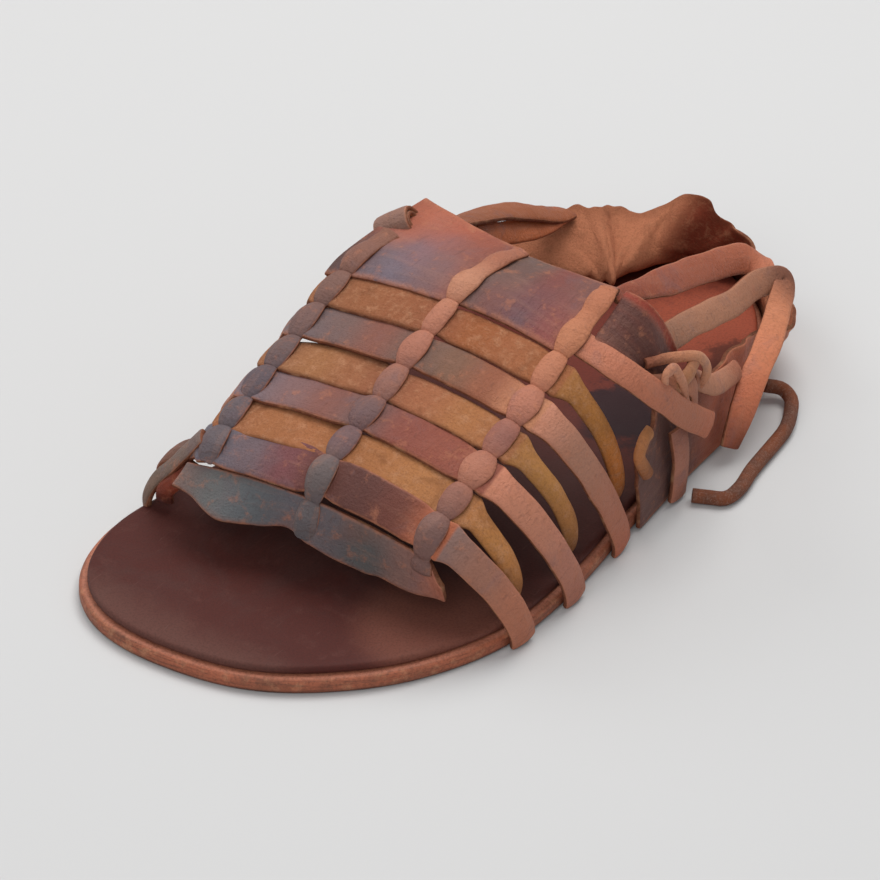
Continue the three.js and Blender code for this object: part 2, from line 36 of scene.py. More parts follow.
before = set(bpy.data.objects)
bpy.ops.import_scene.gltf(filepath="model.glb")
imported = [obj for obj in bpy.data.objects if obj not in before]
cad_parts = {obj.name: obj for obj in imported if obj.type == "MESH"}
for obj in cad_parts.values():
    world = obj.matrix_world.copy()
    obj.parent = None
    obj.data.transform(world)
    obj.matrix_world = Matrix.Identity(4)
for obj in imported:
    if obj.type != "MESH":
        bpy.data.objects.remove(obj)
MM = 0.001

# Sizes of the shoe in millimetres, as in the part's source.
LENGTH = 267.0
WIDTH = 120.5
OUTSOLE = 5.0
INSOLE = 2.5
GAP = 0.35
INSOLE_INSET = 2.4
WALL = 2.2
BAND = 10.4
PITCH = 12.2
INSTEP = 73.0
COLUMN_SPREAD = 36.6
DISK = 9.6
STRAP = 9.0
SIDE_GAP = 0.5
CUP_WALL = 2.0
CUP_HEIGHT = 34.0
THONG = 10.0
INSOLE_TOP = OUTSOLE + GAP + INSOLE
HALF_LENGTH = LENGTH / 2
HALF_WIDTH = WIDTH / 2
HALF_BAND = BAND / PITCH / 2
HALF_DISK = DISK / 2 / COLUMN_SPREAD

# Sole outline: turn in degrees from the toe, outer and inner side as shares of half the width.
OUTLINE = (
    (0, -0.34, -0.34), (15, 0.133, -0.68), (30, 0.49, -0.905), (45, 0.788, -1), (60, 0.971, -0.951),
    (75, 0.996, -0.876), (90, 0.938, -0.855), (105, 0.888, -0.866), (120, 0.855, -0.896),
    (135, 0.735, -0.855), (150, 0.548, -0.697), (165, 0.299, -0.432), (180, -0.05, -0.05),
)

# Top line of the woven sheet: band, along, skew, height, tilt, crown, inner, outer.
TOP_COLUMNS = ("band", "along", "skew", "height", "tilt", "crown", "inner", "outer")
TOP_LINE = (
    (-0.35, 0.628, 0.042, 0.275, 0.05, 0.03, -0.6, 0.61),
    (0.45, 0.603, 0.015, 0.39, 0.01, 0.05, -0.59, 0.61),
    (1, 0.57, 0.009, 0.475, 0, 0.06, -0.59, 0.61),
    (2, 0.498, 0.009, 0.54, 0, 0.062, -0.59, 0.62),
    (3, 0.42, 0.009, 0.61, 0, 0.06, -0.59, 0.625),
    (4, 0.334, 0.009, 0.665, 0, 0.055, -0.59, 0.625),
    (5, 0.245, 0.009, 0.735, 0, 0.062, -0.59, 0.625),
    (6, 0.158, 0.009, 0.805, 0, 0.055, -0.58, 0.625),
    (7, 0.07, 0.009, 0.88, 0, 0.055, -0.56, 0.625),
    (8, -0.04, 0, 0.935, -0.01, 0.01, -0.5, 0.63),
    (8.8, -0.112, -0.02, 0.955, -0.02, -0.03, -0.46, 0.63),
)

# Side straps: band, how far the foot lies behind its band on the outer and the inner side as a
# share of half the length, and whether the strap wraps over the edge of the sole.
SIDE_STRAPS = (
    (1, 0.1, 0.06, True), (2, 0.065, 0.08, False), (3, 0.14, 0.12, True), (4, 0.125, 0.13, False),
    (5, 0.18, 0.15, True), (6, 0.17, 0.15, False), (7, 0.24, 0.17, True),
)

# Heel cup: turn in degrees from the toe over the outer side, rim height as a share of the cup
# height, lean of the rim and slump of the wall towards the foot in millimetres.
CUP = (
    (91, 0.66, 2.5, 0), (95, 0.86, 4, 0), (100, 1.03, 4.5, 0), (105, 0.96, 4, 0), (112, 0.84, 2, 0),
    (121, 0.8, 3, 0), (129, 0.66, 1, 0), (136, 0.56, -7.5, 0), (143, 0.58, -4.5, 0), (152, 0.6, -1, 0),
    (160, 0.58, 1.5, 1), (166, 0.72, 3.5, 4), (171, 0.78, 6, 8), (175, 0.96, 7.5, 13), (180, 0.97, 9, 19),
    (185, 0.82, 10.5, 24), (191, 0.68, 12, 28), (198, 0.7, 13, 31), (206, 0.74, 13, 32),
    (214, 0.68, 11.5, 29), (222, 0.56, 9, 21), (231, 0.44, 5, 9), (238, 0.36, 2, 0),
)

# Creases pressed into the cup by hand: turn, level, width in degrees, depth in millimetres and
# how many degrees it leans over the height.
CUP_FOLDS = (
    (209, 0.74, 1.4, 2.6, 22), (202, 0.8, 1.6, 2, -10), (199, 0.5, 1.3, 2.2, 14), (205, 0.42, 1.5, 2.4, 4),
    (214, 0.5, 1.5, 2, -14), (193, 0.6, 1.9, 2.4, 10), (186, 0.8, 2.2, 2.6, 10), (176, 0.7, 2, 1.8, 10),
    (167, 0.6, 2.2, 1.6, 10), (148, 0.7, 2.5, 1.2, 10), (132, 0.6, 2.5, 1.2, 10), (220, 0.6, 2, 1.8, 16),
)
# A hole in the cup, painted as a dark spot of shade: turn and level.
CUP_HOLE = (204, 0.47)


def table_value(table, column, at):
    """Smooth value of one column of a table at a place along its first column."""
    last = len(table) - 1
    i = 0
    while i < last - 1 and at > table[i + 1][0]:
        i += 1
    a, b = table[i], table[i + 1]
    before, after = table[max(i - 1, 0)], table[min(i + 2, last)]
    span = b[0] - a[0]
    t = min(max((at - a[0]) / span, -0.6), 1.6)
    rise = b[column] - a[column]
    slope_a = (b[column] - before[column]) / (b[0] - before[0]) * span if i > 0 else rise
    slope_b = (after[column] - a[column]) / (after[0] - a[0]) * span if i + 2 <= last else rise
    t2, t3 = t * t, t * t * t
    return ((2 * t3 - 3 * t2 + 1) * a[column] + (t3 - 2 * t2 + t) * slope_a
            + (3 * t2 - 2 * t3) * b[column] + (t3 - t2) * slope_b)


AROUND = []
for lap in (-360, 0, 360):
    AROUND += [(row[0] + lap, row[1]) for row in OUTLINE[:-1]]
    AROUND += [(360 - row[0] + lap, row[2]) for row in reversed(OUTLINE[1:])]


def edge_point(turn):
    """A place on the outline of the sole."""
    x = HALF_LENGTH * math.cos(math.radians(turn))
    return np.array([x, HALF_WIDTH * table_value(AROUND, 1, turn)])


def outline(turn, out=0.0):
    """A place on the outline moved outwards by a distance."""
    here = edge_point(turn)
    along = edge_point(turn + 0.5) - edge_point(turn - 0.5)
    along = along / np.linalg.norm(along)
    return np.array([here[0] + along[1] * out, here[1] - along[0] * out])


def side_edge(x, side):
    """Edge of the sole at a length along the foot, on the outer (+1) or inner (-1) side."""
    turn = math.degrees(math.acos(min(max(x / HALF_LENGTH, -1), 1)))
    return edge_point(turn if side > 0 else 360 - turn)[1]


def unit(v):
    """The way of a vector, one long."""
    return v / max(np.linalg.norm(v), 1e-9)


def top_value(name, s):
    """A named value of the woven sheet's top line at a place counted in bands."""
    return table_value(TOP_LINE, TOP_COLUMNS.index(name), s)


def top_point(s, v):
    """A place on the top of the woven sheet: bands are counted along s, columns stand at v -1, 0, 1."""
    inner, outer = HALF_WIDTH * top_value("inner", s), HALF_WIDTH * top_value("outer", s)
    return np.array([
        HALF_LENGTH * (top_value("along", s) - top_value("skew", s) * v),
        (inner + outer) / 2 + (outer - inner) / 2 * v,
        INSTEP * (top_value("height", s) - top_value("tilt", s) * v
                  + top_value("crown", s) * (1 - v * v)),
    ])


# The way that a side strap comes down to its foot at the sole's edge or tucked inside it, on the
# outer (1) and inner (-1) side, how far it keeps the sheet's slope as a share of its span, and how
# far inside the edge it tucks in.
WRAP_PULL = {1: np.array([3.0, 3.5, 11.0]), -1: np.array([4.0, -2.5, 24.0])}
TUCK_PULL = {1: np.array([3.5, 6.5, 12.0]), -1: np.array([3.0, -3.0, 18.0])}
REACH, REAR_REACH = {1: 0.22, -1: 0.26}, 0.42
TUCK_IN = {1: 6.5, -1: 9}
REAR_PANEL, WING = 7, 8


def strap_foot(band, side, across):
    """Where the foot of a side strap stands, and the way it comes down."""
    if band == REAR_PANEL and side > 0:
        foot = (-0.27 * HALF_LENGTH - across * 2, 0.996 * HALF_WIDTH,
                0.28 * INSTEP + across * STRAP * 0.4)
        return np.array(foot), np.array([16.0, 0.0, 11.0])
    if band == WING:
        foot = (-0.11 * HALF_LENGTH - across * STRAP * 0.6, 0.896 * HALF_WIDTH, 0.66 * INSTEP)
        return np.array(foot), np.array([2.0, -1.0, 7.0])
    row = SIDE_STRAPS[max(band, 1) - 1]
    x = HALF_LENGTH * (top_value("along", band) - row[1 if side > 0 else 2]) - across * STRAP * 0.5
    if row[3]:
        y = side_edge(x, side) + side * (SIDE_GAP + WALL / 2)
        return np.array([x, y, 1.2]), WRAP_PULL[side]
    y = side_edge(x, side) - side * TUCK_IN[side]
    return np.array([x, y, INSOLE_TOP + 1.5]), TUCK_PULL[side]


def strap_point(band, side, across, t):
    """A place on a side strap: t runs 0 at the column to 1 at its foot, across from -1 to 1."""
    s = band + across * HALF_BAND
    v = side * (1 + HALF_DISK)
    edge = top_point(s, v)
    slope = unit(edge - top_point(s, v - side * 0.05))
    foot, pull = strap_foot(band, side, across)
    if side < 0:
        slope = unit(slope + np.array([0, 0, -1.5]))
    reach = REAR_REACH if side > 0 and band >= REAR_PANEL else REACH[side]
    near = edge + slope * (reach * np.linalg.norm(edge - foot))
    w = 1 - t
    return w ** 3 * edge + 3 * w * w * t * near + 3 * w * t * t * (foot + pull) + t ** 3 * foot


# Lower edge of the toe flap: place across the foot, then along it as counted in bands.
FLAP_EDGE = (
    (-1.2, -0.2), (-1.0, -0.42), (-0.85, -0.6), (-0.7, -0.68), (-0.55, -0.64), (-0.4, -0.52),
    (-0.25, -0.38), (-0.1, -0.34), (0.05, -0.46), (0.2, -0.52), (0.35, -0.58), (0.5, -0.6),
    (0.65, -0.5), (0.8, -0.48), (0.95, -0.44), (1.1, -0.34), (1.2, -0.3),
)

# The rolled corner of the inner instep panel: its axis and the two ways across it.
CORNER_AXIS = np.array([-0.314, 0.771, 0.554])
CORNER_ACROSS = np.array([-0.878, -0.014, -0.478])
CORNER_UP = np.array([-0.361, -0.637, 0.681])

# Routes of the loose thongs: along, side and rise as shares of the half length, the half width
# and the instep height, then the way that the flat side looks.
STRAP_HIGH = (
    (-0.0749, 0.6473, 0.9521, (0, 0.6, 1)), (-0.3146, 0.639, 0.8082, (0, 0.8, 1)),
    (-0.5693, 0.5809, 0.6301, (0, 1, 0.8)), (-0.7266, 0.5809, 0.5137, (-0.4, 1, 0.6)),
    (-0.7715, 0.6805, 0.4589, (-1, 1, 0.5)),
)
STRAP_LOW = (
    (-0.1348, 0.7967, 0.7123, (0, 1, 0.6)), (-0.3521, 0.7635, 0.6164, (0, 1, 0.7)),
    (-0.5318, 0.7469, 0.5342, (0, 1, 0.7)), (-0.6966, 0.722, 0.4795, (0, 1, 0.6)),
    (-0.7491, 0.7635, 0.4452, (0.3, 1, 0.5)), (-0.6667, 0.8548, 0.4041, (0.7, 0.6, 0.5)),
    (-0.5768, 0.9212, 0.363, (0.7, 0.5, 0.6)), (-0.4869, 0.971, 0.3082, (0.6, 0.5, 0.6)),
    (-0.412, 1.0041, 0.2055, (0.5, 0.8, 0.4)), (-0.367, 1.0041, 0.0685, (0.1, 1, 0.2)),
)
STRAP_UPRIGHT = (
    (-0.1685, 0.9461, 0.3493, (0, 1, 0.2)), (-0.1685, 0.9759, 0.2466, (0, 1, 0.2)),
    (-0.1685, 0.9859, 0.1233, (0, 1, 0)), (-0.1685, 0.9793, 0.0178, (0, 1, -0.1)),
)
STRAP_FAR = (
    (-0.1303, -0.3817, 0.9, (0, -0.3, 1)), (-0.3146, -0.4481, 0.7671, (0, 0, 1)),
    (-0.5094, -0.5145, 0.5959, (0, 0.3, 1)), (-0.6891, -0.5477, 0.4095, (0, 0.3, 1)),
    (-0.7753, -0.5759, 0.335, (0, 0, 1)),
)
STRAP_INNER = (
    (-0.1423, -0.8963, 0.1918, (0, -1, 0.2)), (-0.2846, -0.9378, 0.1507, (0, -1, 0.1)),
    (-0.4345, -0.956, 0.1507, (0, -1, 0.1)), (-0.5318, -0.9461, 0.1644, (0, -1, 0.1)),
    (-0.6292, -0.9046, 0.1726, (-0.1, -1, 0.3)),
)
KNOT_BACK = (
    (-0.0225, 0.9212, 0.6849, (0, 1, 0.5)), (-0.0749, 0.9544, 0.6507, (0, 1, 0.5)),
    (-0.1348, 0.9876, 0.6164, (-0.1, 1, 0.4)), (-0.1798, 0.9959, 0.5479, (-0.3, 1, 0.3)),
    (-0.1948, 0.9876, 0.4384, (-0.3, 1, 0.1)),
)
KNOT_FRONT = (
    (-0.0674, 0.9461, 0.5342, (0.2, 1, 0.2)), (-0.1049, 0.9793, 0.5959, (0.1, 1, 0.4)),
    (-0.1498, 1.0041, 0.6507, (0, 1, 0.5)), (-0.2022, 0.971, 0.6712, (-0.3, 1, 0.5)),
)
KNOT_BAR = (
    (-0.043, 0.896, 0.759, (0.4, 1, 0.5)), (-0.081, 0.913, 0.744, (0.4, 1, 0.5)),
    (-0.126, 0.946, 0.72, (0.4, 1, 0.5)), (-0.171, 0.979, 0.699, (0.4, 1, 0.5)),
    (-0.206, 0.996, 0.663, (0.3, 1, 0.5)), (-0.232, 0.996, 0.594, (0.3, 1, 0.3)),
    (-0.229, 0.996, 0.55, (0.3, 1, 0.3)), (-0.221, 0.979, 0.504, (0.3, 1, 0.3)),
)
KNOT_TAIL = (
    (-0.2, 0.97, 0.56, (0, 1, 0.6)), (-0.224, 0.963, 0.527, (0, 1, 0.6)),
    (-0.294, 0.963, 0.439, (0, 1, 0.7)), (-0.367, 0.946, 0.386, (0, 1, 0.7)),
    (-0.448, 0.913, 0.349, (0, 1, 0.7)),
)
KNOT_LOOP = (
    (-0.145, 1.012, 0.511, (0.3, 1, 0.3)), (-0.132, 1.012, 0.587, (0.3, 1, 0.3)),
    (-0.104, 1.012, 0.677, (0.3, 1, 0.4)), (-0.072, 1.012, 0.751, (0.3, 1, 0.6)),
    (-0.052, 1.004, 0.735, (0.3, 1, 0.4)), (-0.06, 0.988, 0.674, (0.3, 1, 0.3)),
    (-0.065, 0.971, 0.622, (0.3, 1, 0.3)),
)
CURLED_TIP = (
    (-0.035, 0.975, 0.26, (0.4, 1, 0.1)), (-0.016, 0.972, 0.32, (0.4, 1, 0.2)),
    (0.004, 0.968, 0.39, (0.4, 1, 0.3)), (-0.012, 0.966, 0.45, (0.3, 1, 0.5)),
    (-0.05, 0.95, 0.45, (0.2, 1, 0.7)),
)
TOE_ROLL_HIGH = (
    (0.585, -0.66, 0.5, (0.6, -0.6, 0.8)), (0.599, -0.797, 0.337, (0.7, -0.7, 0.6)),
    (0.604, -0.913, 0.209, (0.8, -0.7, 0.4)), (0.613, -0.946, 0.123, (0.8, -0.7, 0.2)),
    (0.602, -0.946, 0.045, (0.8, -0.7, 0)),
)
TOE_ROLL_LOW = (
    (0.585, -0.72, 0.36, (0.9, 0.3, 0.4)), (0.604, -0.763, 0.287, (0.9, 0.3, 0.4)),
    (0.614, -0.83, 0.205, (0.9, 0.3, 0.3)), (0.606, -0.846, 0.14, (0.9, 0.3, 0.2)),
)
STRAP_UNDER = (
    (-0.13, -0.34, 0.83, (0.3, 0.8, 0.6)), (-0.3146, -0.4, 0.69, (0.3, 0.8, 0.6)),
    (-0.48, -0.46, 0.54, (0.3, 0.7, 0.7)), (-0.62, -0.505, 0.43, (0.2, 0.6, 0.8)),
    (-0.755, -0.56, 0.352, (0.1, 0.4, 1)),
)

# Route of the loose lace in millimetres, from the heel round to the side of the sole.
LACE_ROUTE = (
    (-84, 52.2, 5.4), (-87.5, 56.5, 4), (-86, 60.5, 2.8), (-81, 63.5, 2.3), (-72, 67, 2.3),
    (-61, 68.5, 2.3), (-47, 70, 2.3), (-36, 72, 2.3), (-29.5, 71.2, 2.3), (-27, 67, 2.3),
    (-24.5, 62.9, 2.6),
)

# Colours as seen on the leather, red, green and blue out of 255. Bands run from the outer column
# to the inner one, columns from the toe to the instep, side straps from the column to the foot.
BAND_TINTS = (
    ((188, 109, 76), (120, 68, 56), (102, 62, 56), (107, 62, 52), (132, 80, 84), (120, 104, 112),
     (112, 110, 122)),
    ((184, 126, 84), (190, 130, 84), (182, 122, 80), (170, 112, 74), (180, 118, 80), (176, 116, 78),
     (168, 110, 78)),
    ((160, 92, 74), (154, 84, 66), (148, 82, 68), (124, 96, 94), (142, 92, 82), (140, 108, 108),
     (130, 116, 124)),
    ((184, 123, 84), (186, 125, 82), (177, 114, 82), (160, 101, 76), (168, 110, 78), (172, 118, 80),
     (162, 112, 82)),
    ((216, 150, 112), (160, 98, 70), (136, 100, 80), (120, 96, 88), (144, 92, 78), (126, 101, 97),
     (120, 108, 112)),
    ((176, 112, 76), (174, 110, 76), (170, 104, 68), (162, 101, 74), (162, 102, 72), (164, 106, 74),
     (164, 110, 80)),
)
COLUMN_TINTS = {
    1: ((126, 94, 88), (128, 96, 90), (152, 104, 90), (190, 126, 102), (156, 102, 90), (194, 128, 104),
        (200, 132, 100), (200, 132, 96), (194, 124, 90)),
    0: ((104, 100, 104), (112, 102, 102), (124, 98, 100), (120, 92, 92), (156, 108, 94), (184, 122, 100),
        (194, 130, 104), (204, 144, 114), (176, 112, 86)),
    -1: ((108, 102, 108), (106, 98, 104), (104, 94, 100), (100, 88, 96), (112, 92, 92), (122, 94, 90),
         (132, 98, 88), (142, 100, 86), (146, 98, 78)),
}
# Widths of the disks of each column in millimetres, from the toe to the instep.
COLUMN_WIDTHS = {
    1: (7, 8.2, 7.8, 9.6, 7.4, 8.8, 6.8, 8, 7.4),
    0: (7.4, 8.2, 7.8, 8.8, 7.6, 8.2, 6.2, 8.4, 6.4),
    -1: (7, 8.2, 7.8, 8.2, 7.8, 8.2, 7.6, 8, 7.6),
}
SIDE_TINTS = (
    ((134, 104, 96), (152, 104, 86), (172, 108, 82), (178, 108, 80)),
    ((190, 128, 80), (206, 142, 84), (196, 132, 80), (160, 100, 66)),
    ((200, 130, 102), (188, 124, 98), (174, 114, 94), (172, 106, 84)),
    ((184, 128, 78), (196, 138, 80), (190, 130, 78), (150, 98, 64)),
    ((196, 132, 106), (168, 118, 96), (172, 108, 84), (188, 104, 74)),
    ((176, 120, 72), (194, 130, 70), (208, 126, 64), (166, 96, 58)),
    ((192, 120, 92), (184, 112, 84), (176, 108, 80), (186, 110, 82)),
)


def srgb(colour):
    """A colour out of 255 as the linear value that a shader takes."""
    value = np.asarray(colour, float) / 255
    return np.where(value <= 0.04045, value / 12.92, ((value + 0.055) / 1.055) ** 2.4)


def blend_stops(stops, share):
    """A colour between evenly spaced stops."""
    at = min(max(share, 0.0), 1.0) * (len(stops) - 1)
    i = min(int(at), len(stops) - 2)
    k = at - i
    k = k * k * (3 - 2 * k)
    return (1 - k) * srgb(stops[i]) + k * srgb(stops[i + 1])


def ramp(x, low, high):
    """0 below low, 1 above high and smooth between."""
    t = min(max((x - low) / (high - low), 0.0), 1.0)
    return t * t * (3 - 2 * t)


def station(u, count):
    """The nearest of so many stations to a share of the length."""
    return min(int(round(u * (count - 1))), count - 1)


def handled(colour, share=1.0):
    """The colour of grain leather darkened and reddened by handling."""
    return colour * (1 - share * (1 - np.array((0.8, 0.75, 0.73))))


def wander(p, size, seed):
    """Smooth uneven value from -1 to 1 at a place in millimetres."""
    return noise.noise(Vector((p[0] / size + seed, p[1] / size - seed, p[2] / size + seed * 0.5)))


def smooth_line(points, count):
    """Even steps along a rounded line through the points."""
    pts = [np.asarray(p, float) for p in points]
    pts = [2 * pts[0] - pts[1]] + pts + [2 * pts[-1] - pts[-2]]
    line = []
    for k in range(count):
        at = k / (count - 1) * (len(points) - 1)
        i = min(int(at), len(points) - 2)
        t = at - i
        p0, p1, p2, p3 = pts[i:i + 4]
        d0 = max(np.linalg.norm(p1 - p0) ** 0.5, 1e-6)
        d1 = max(np.linalg.norm(p2 - p1) ** 0.5, 1e-6)
        d2 = max(np.linalg.norm(p3 - p2) ** 0.5, 1e-6)
        m1 = ((p1 - p0) / d0 - (p2 - p0) / (d0 + d1) + (p2 - p1) / d1) * d1
        m2 = ((p2 - p1) / d1 - (p3 - p1) / (d1 + d2) + (p3 - p2) / d2) * d1
        t2, t3 = t * t, t * t * t
        line.append((2 * t3 - 3 * t2 + 1) * p1 + (t3 - 2 * t2 + t) * m1
                    + (3 * t2 - 2 * t3) * p2 + (t3 - t2) * m2)
    return np.array(line)


class Strip:
    """A strip of leather as it lies: its middle line, the way across and the way its face looks."""

    def __init__(self, middle, across, width, curl, crown):
        self.middle = np.asarray(middle, float)
        count = len(self.middle)
        along = np.gradient(self.middle, axis=0)
        along /= np.linalg.norm(along, axis=1)[:, None] + 1e-9
        across = np.asarray(across, float)
        across = across - (across * along).sum(1)[:, None] * along
        across /= np.linalg.norm(across, axis=1)[:, None] + 1e-9
        self.along = along
        self.across = across
        self.face = np.cross(across, along)
        self.width = np.broadcast_to(np.asarray(width, float), (count,))
        self.curl = np.broadcast_to(np.asarray(curl, float), (count,))
        self.crown = np.broadcast_to(np.asarray(crown, float), (count,))
        step = np.linalg.norm(np.diff(self.middle, axis=0), axis=1)
        self.run = np.concatenate([[0], np.cumsum(step)])

    def place(self, k, a):
        """The point at station k, a from -0.5 to 0.5 across the strip."""
        width, curl = self.width[k], self.curl[k]
        if abs(curl) > 0.02:
            side = width * math.sin(curl * a) / curl
            rise = -width * (1 - math.cos(curl * a)) / curl
        else:
            side = width * a
            rise = 0.0
        rise += self.crown[k] * (1 - 4 * a * a)
        return self.middle[k] + self.across[k] * side + self.face[k] * rise


def faced(points, faces):
    """Ways across for a line whose flat side looks in the given ways."""
    points = np.asarray(points)
    along = np.gradient(points, axis=0)
    spots = np.linspace(0, len(faces) - 1, len(points))
    across = []
    for k, at in enumerate(spots):
        i = min(int(at), len(faces) - 2)
        face = (1 - (at - i)) * np.array(faces[i], float) + (at - i) * np.array(faces[i + 1], float)
        across.append(unit(np.cross(along[k], face)))
    return np.array(across)


# Objects and selection.

def clear_selection():
    """Nothing is selected."""
    for item in bpy.context.selected_objects:
        item.select_set(False)


def only(piece):
    """The piece alone is selected and active."""
    clear_selection()
    piece.select_set(True)
    bpy.context.view_layer.objects.active = piece


def apply_modifier(piece, kind, **settings):
    """Adds a modifier with its settings and applies it."""
    only(piece)
    modifier = piece.modifiers.new(kind.title(), kind)
    for name, value in settings.items():
        setattr(modifier, name, value)
    bpy.ops.object.modifier_apply(modifier=modifier.name)


def cut_piece(name, cells, shape, tint, thick, skins, flip=False):
    """Cuts a flat piece of leather, lays it by shape(u, a), colours it and gives it its thickness.

    u runs 0 to 1 along the piece and a from -0.5 to 0.5 across it. skins are the materials of its
    face, its back and its cut edge.
    """
    clear_selection()
    bpy.ops.mesh.primitive_grid_add(x_subdivisions=cells[0], y_subdivisions=cells[1], size=2)
    piece = bpy.context.active_object
    piece.name = name
    mesh = piece.data
    count = len(mesh.vertices)
    flat = np.empty(count * 3)
    mesh.vertices.foreach_get("co", flat)
    flat = flat.reshape(-1, 3)
    places = np.empty((count, 3))
    tints = np.ones((count, 4))
    lays = np.empty((count, 3))
    for k in range(count):
        u, a = (flat[k, 0] + 1) / 2, (0.5 if flip else -0.5) * flat[k, 1]
        point, run, side = shape(u, a)
        places[k] = point
        tints[k, :3] = tint(u, a, point)
        lays[k] = (run * MM, side * MM, min(abs(a) * 2, 1))
    mesh.vertices.foreach_set("co", (places * MM).ravel())
    colour = mesh.attributes.new("tint", "FLOAT_COLOR", "POINT")
    colour.data.foreach_set("color", tints.ravel())
    lay = mesh.attributes.new("lay", "FLOAT_VECTOR", "POINT")
    lay.data.foreach_set("vector", lays.ravel())
    for material in skins:
        mesh.materials.append(material)
    apply_modifier(piece, "SOLIDIFY", thickness=thick * MM, offset=0, use_even_offset=False,
                   use_quality_normals=True, material_offset=1, material_offset_rim=2)
    apply_modifier(piece, "SUBSURF", levels=1, render_levels=1, boundary_smooth="ALL")
    only(piece)
    bpy.ops.object.shade_smooth()
    return piece


def lay_strip(name, strip, tint, thick, skins, cells_across, wave, seed):
    """Cuts and lays a strip of leather, its middle and edges uneven by the wave in millimetres."""
    stations = len(strip.middle)

    def shape(u, a):
        k = station(u, stations)
        point = strip.place(k, a)
        point = point + strip.face[k] * wander(point, 7, seed) * wave
        point = point + strip.across[k] * wander(point, 11, seed + 9) * wave * 1.4
        return point, strip.run[k], strip.width[k] * a

    return cut_piece(name, (stations - 1, cells_across), shape, tint, thick, skins)


def join_pieces(name, pieces):
    """Joins pieces of one kind into one object."""
    clear_selection()
    for piece in pieces:
        piece.select_set(True)
    bpy.context.view_layer.objects.active = pieces[0]
    if len(pieces) > 1:
        bpy.ops.object.join()
    whole = bpy.context.active_object
    whole.name = name
    whole.data.name = name
    return whole


def set_down(piece, node):
    """The finished piece rides on the shoe and stands for its node."""
    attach(piece, "root")
    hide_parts(node)
    clear_selection()


# Shader maths.

class Value:
    """One socket of a material, for maths written as Python expressions."""

    def __init__(self, net, socket):
        self.net = net
        self.socket = socket

    def maths(self, operation, *values):
        """One step of maths on sockets and numbers."""
        return self.net.node("ShaderNodeMath", {"operation": operation}, dict(enumerate(values)))

    def __add__(self, other):
        return self.maths("ADD", self, other)

    def __radd__(self, other):
        return self.maths("ADD", other, self)

    def __sub__(self, other):
        return self.maths("SUBTRACT", self, other)

    def __rsub__(self, other):
        return self.maths("SUBTRACT", other, self)

    def __mul__(self, other):
        return self.maths("MULTIPLY", self, other)

    def __rmul__(self, other):
        return self.maths("MULTIPLY", other, self)


class Net:
    """The nodes of one material."""

    def __init__(self, name):
        self.material = bpy.data.materials.new(name)
        self.material.use_nodes = True
        self.tree = self.material.node_tree
        self.shader = self.tree.nodes["Principled BSDF"]

    def node(self, kind, settings, inputs, output=0):
        """Any node: its type, its settings, then the values or links of its sockets."""
        made = self.tree.nodes.new(kind)
        for name, value in settings.items():
            setattr(made, name, value)
        for name, value in inputs.items():
            self.feed(made.inputs[name], value)
        return Value(self, made.outputs[output])

    def feed(self, socket, value):
        """A value or a link goes into the socket."""
        if isinstance(value, Value):
            self.tree.links.new(value.socket, socket)
        else:
            socket.default_value = value

    def surface(self, **inputs):
        """Feeds the material's own shader."""
        for name, value in inputs.items():
            self.feed(self.shader.inputs[name.replace("_", " ")], value)

    def place(self):
        """The place on the piece in metres."""
        return self.node("ShaderNodeTexCoord", {}, {}, "Object")

    def attribute(self, name, output="Vector"):
        """What cut_piece wrote on the piece: its lay or its tint."""
        return self.node("ShaderNodeAttribute", {"attribute_name": name, "attribute_type": "GEOMETRY"},
                         {}, output)

    def parts(self, vector):
        """The three numbers of a vector."""
        made = self.tree.nodes.new("ShaderNodeSeparateXYZ")
        self.feed(made.inputs[0], vector)
        return [Value(self, made.outputs[k]) for k in range(3)]

    def clouds(self, vector, scale, detail=3.0, rough=0.55, distortion=0.0):
        """Soft noise; three scales draw it out."""
        if not isinstance(scale, float):
            vector = self.node("ShaderNodeMapping", {}, {"Vector": vector, "Scale": scale})
            scale = 1.0
        return self.node("ShaderNodeTexNoise", {}, {
            "Vector": vector, "Scale": scale, "Detail": detail, "Roughness": rough,
            "Distortion": distortion})

    def between(self, value, low, high):
        """0 at low to 1 at high, kept within 0 and 1."""
        return self.node("ShaderNodeMapRange", {"clamp": True, "interpolation_type": "SMOOTHSTEP"}, {
            "Value": value, "From Min": low, "From Max": high, "To Min": 0.0, "To Max": 1.0})

    def patch(self, x, y, at_x, at_y, reach):
        """1 at a spot on the floor plane, falling to 0 at its reach."""
        away = (x - at_x) * (x - at_x) + (y - at_y) * (y - at_y)
        return 1 - self.between(away, 0.0, reach * reach)

    def mix(self, factor, first, second):
        """Mixes two colours."""
        tones = [tone if isinstance(tone, Value) else (*tone, 1.0) for tone in (first, second)]
        return self.node("ShaderNodeMix", {"data_type": "RGBA", "clamp_factor": True},
                         {0: factor, 6: tones[0], 7: tones[1]}, 2)

    def stains(self, colour, *rows):
        """Lays stains over a colour. Each has its mask, the mask's range, its strength and its tone."""
        for mask, low, high, share, tone in rows:
            colour = self.mix(self.between(mask, low, high) * share, colour, tone)
        return colour

    def bump(self, height, distance, strength, under=None):
        """Relief of a height in metres, over a finer relief if there is one."""
        inputs = {"Strength": strength, "Distance": distance, "Height": height}
        if under is not None:
            inputs["Normal"] = under
        return self.node("ShaderNodeBump", {}, inputs)


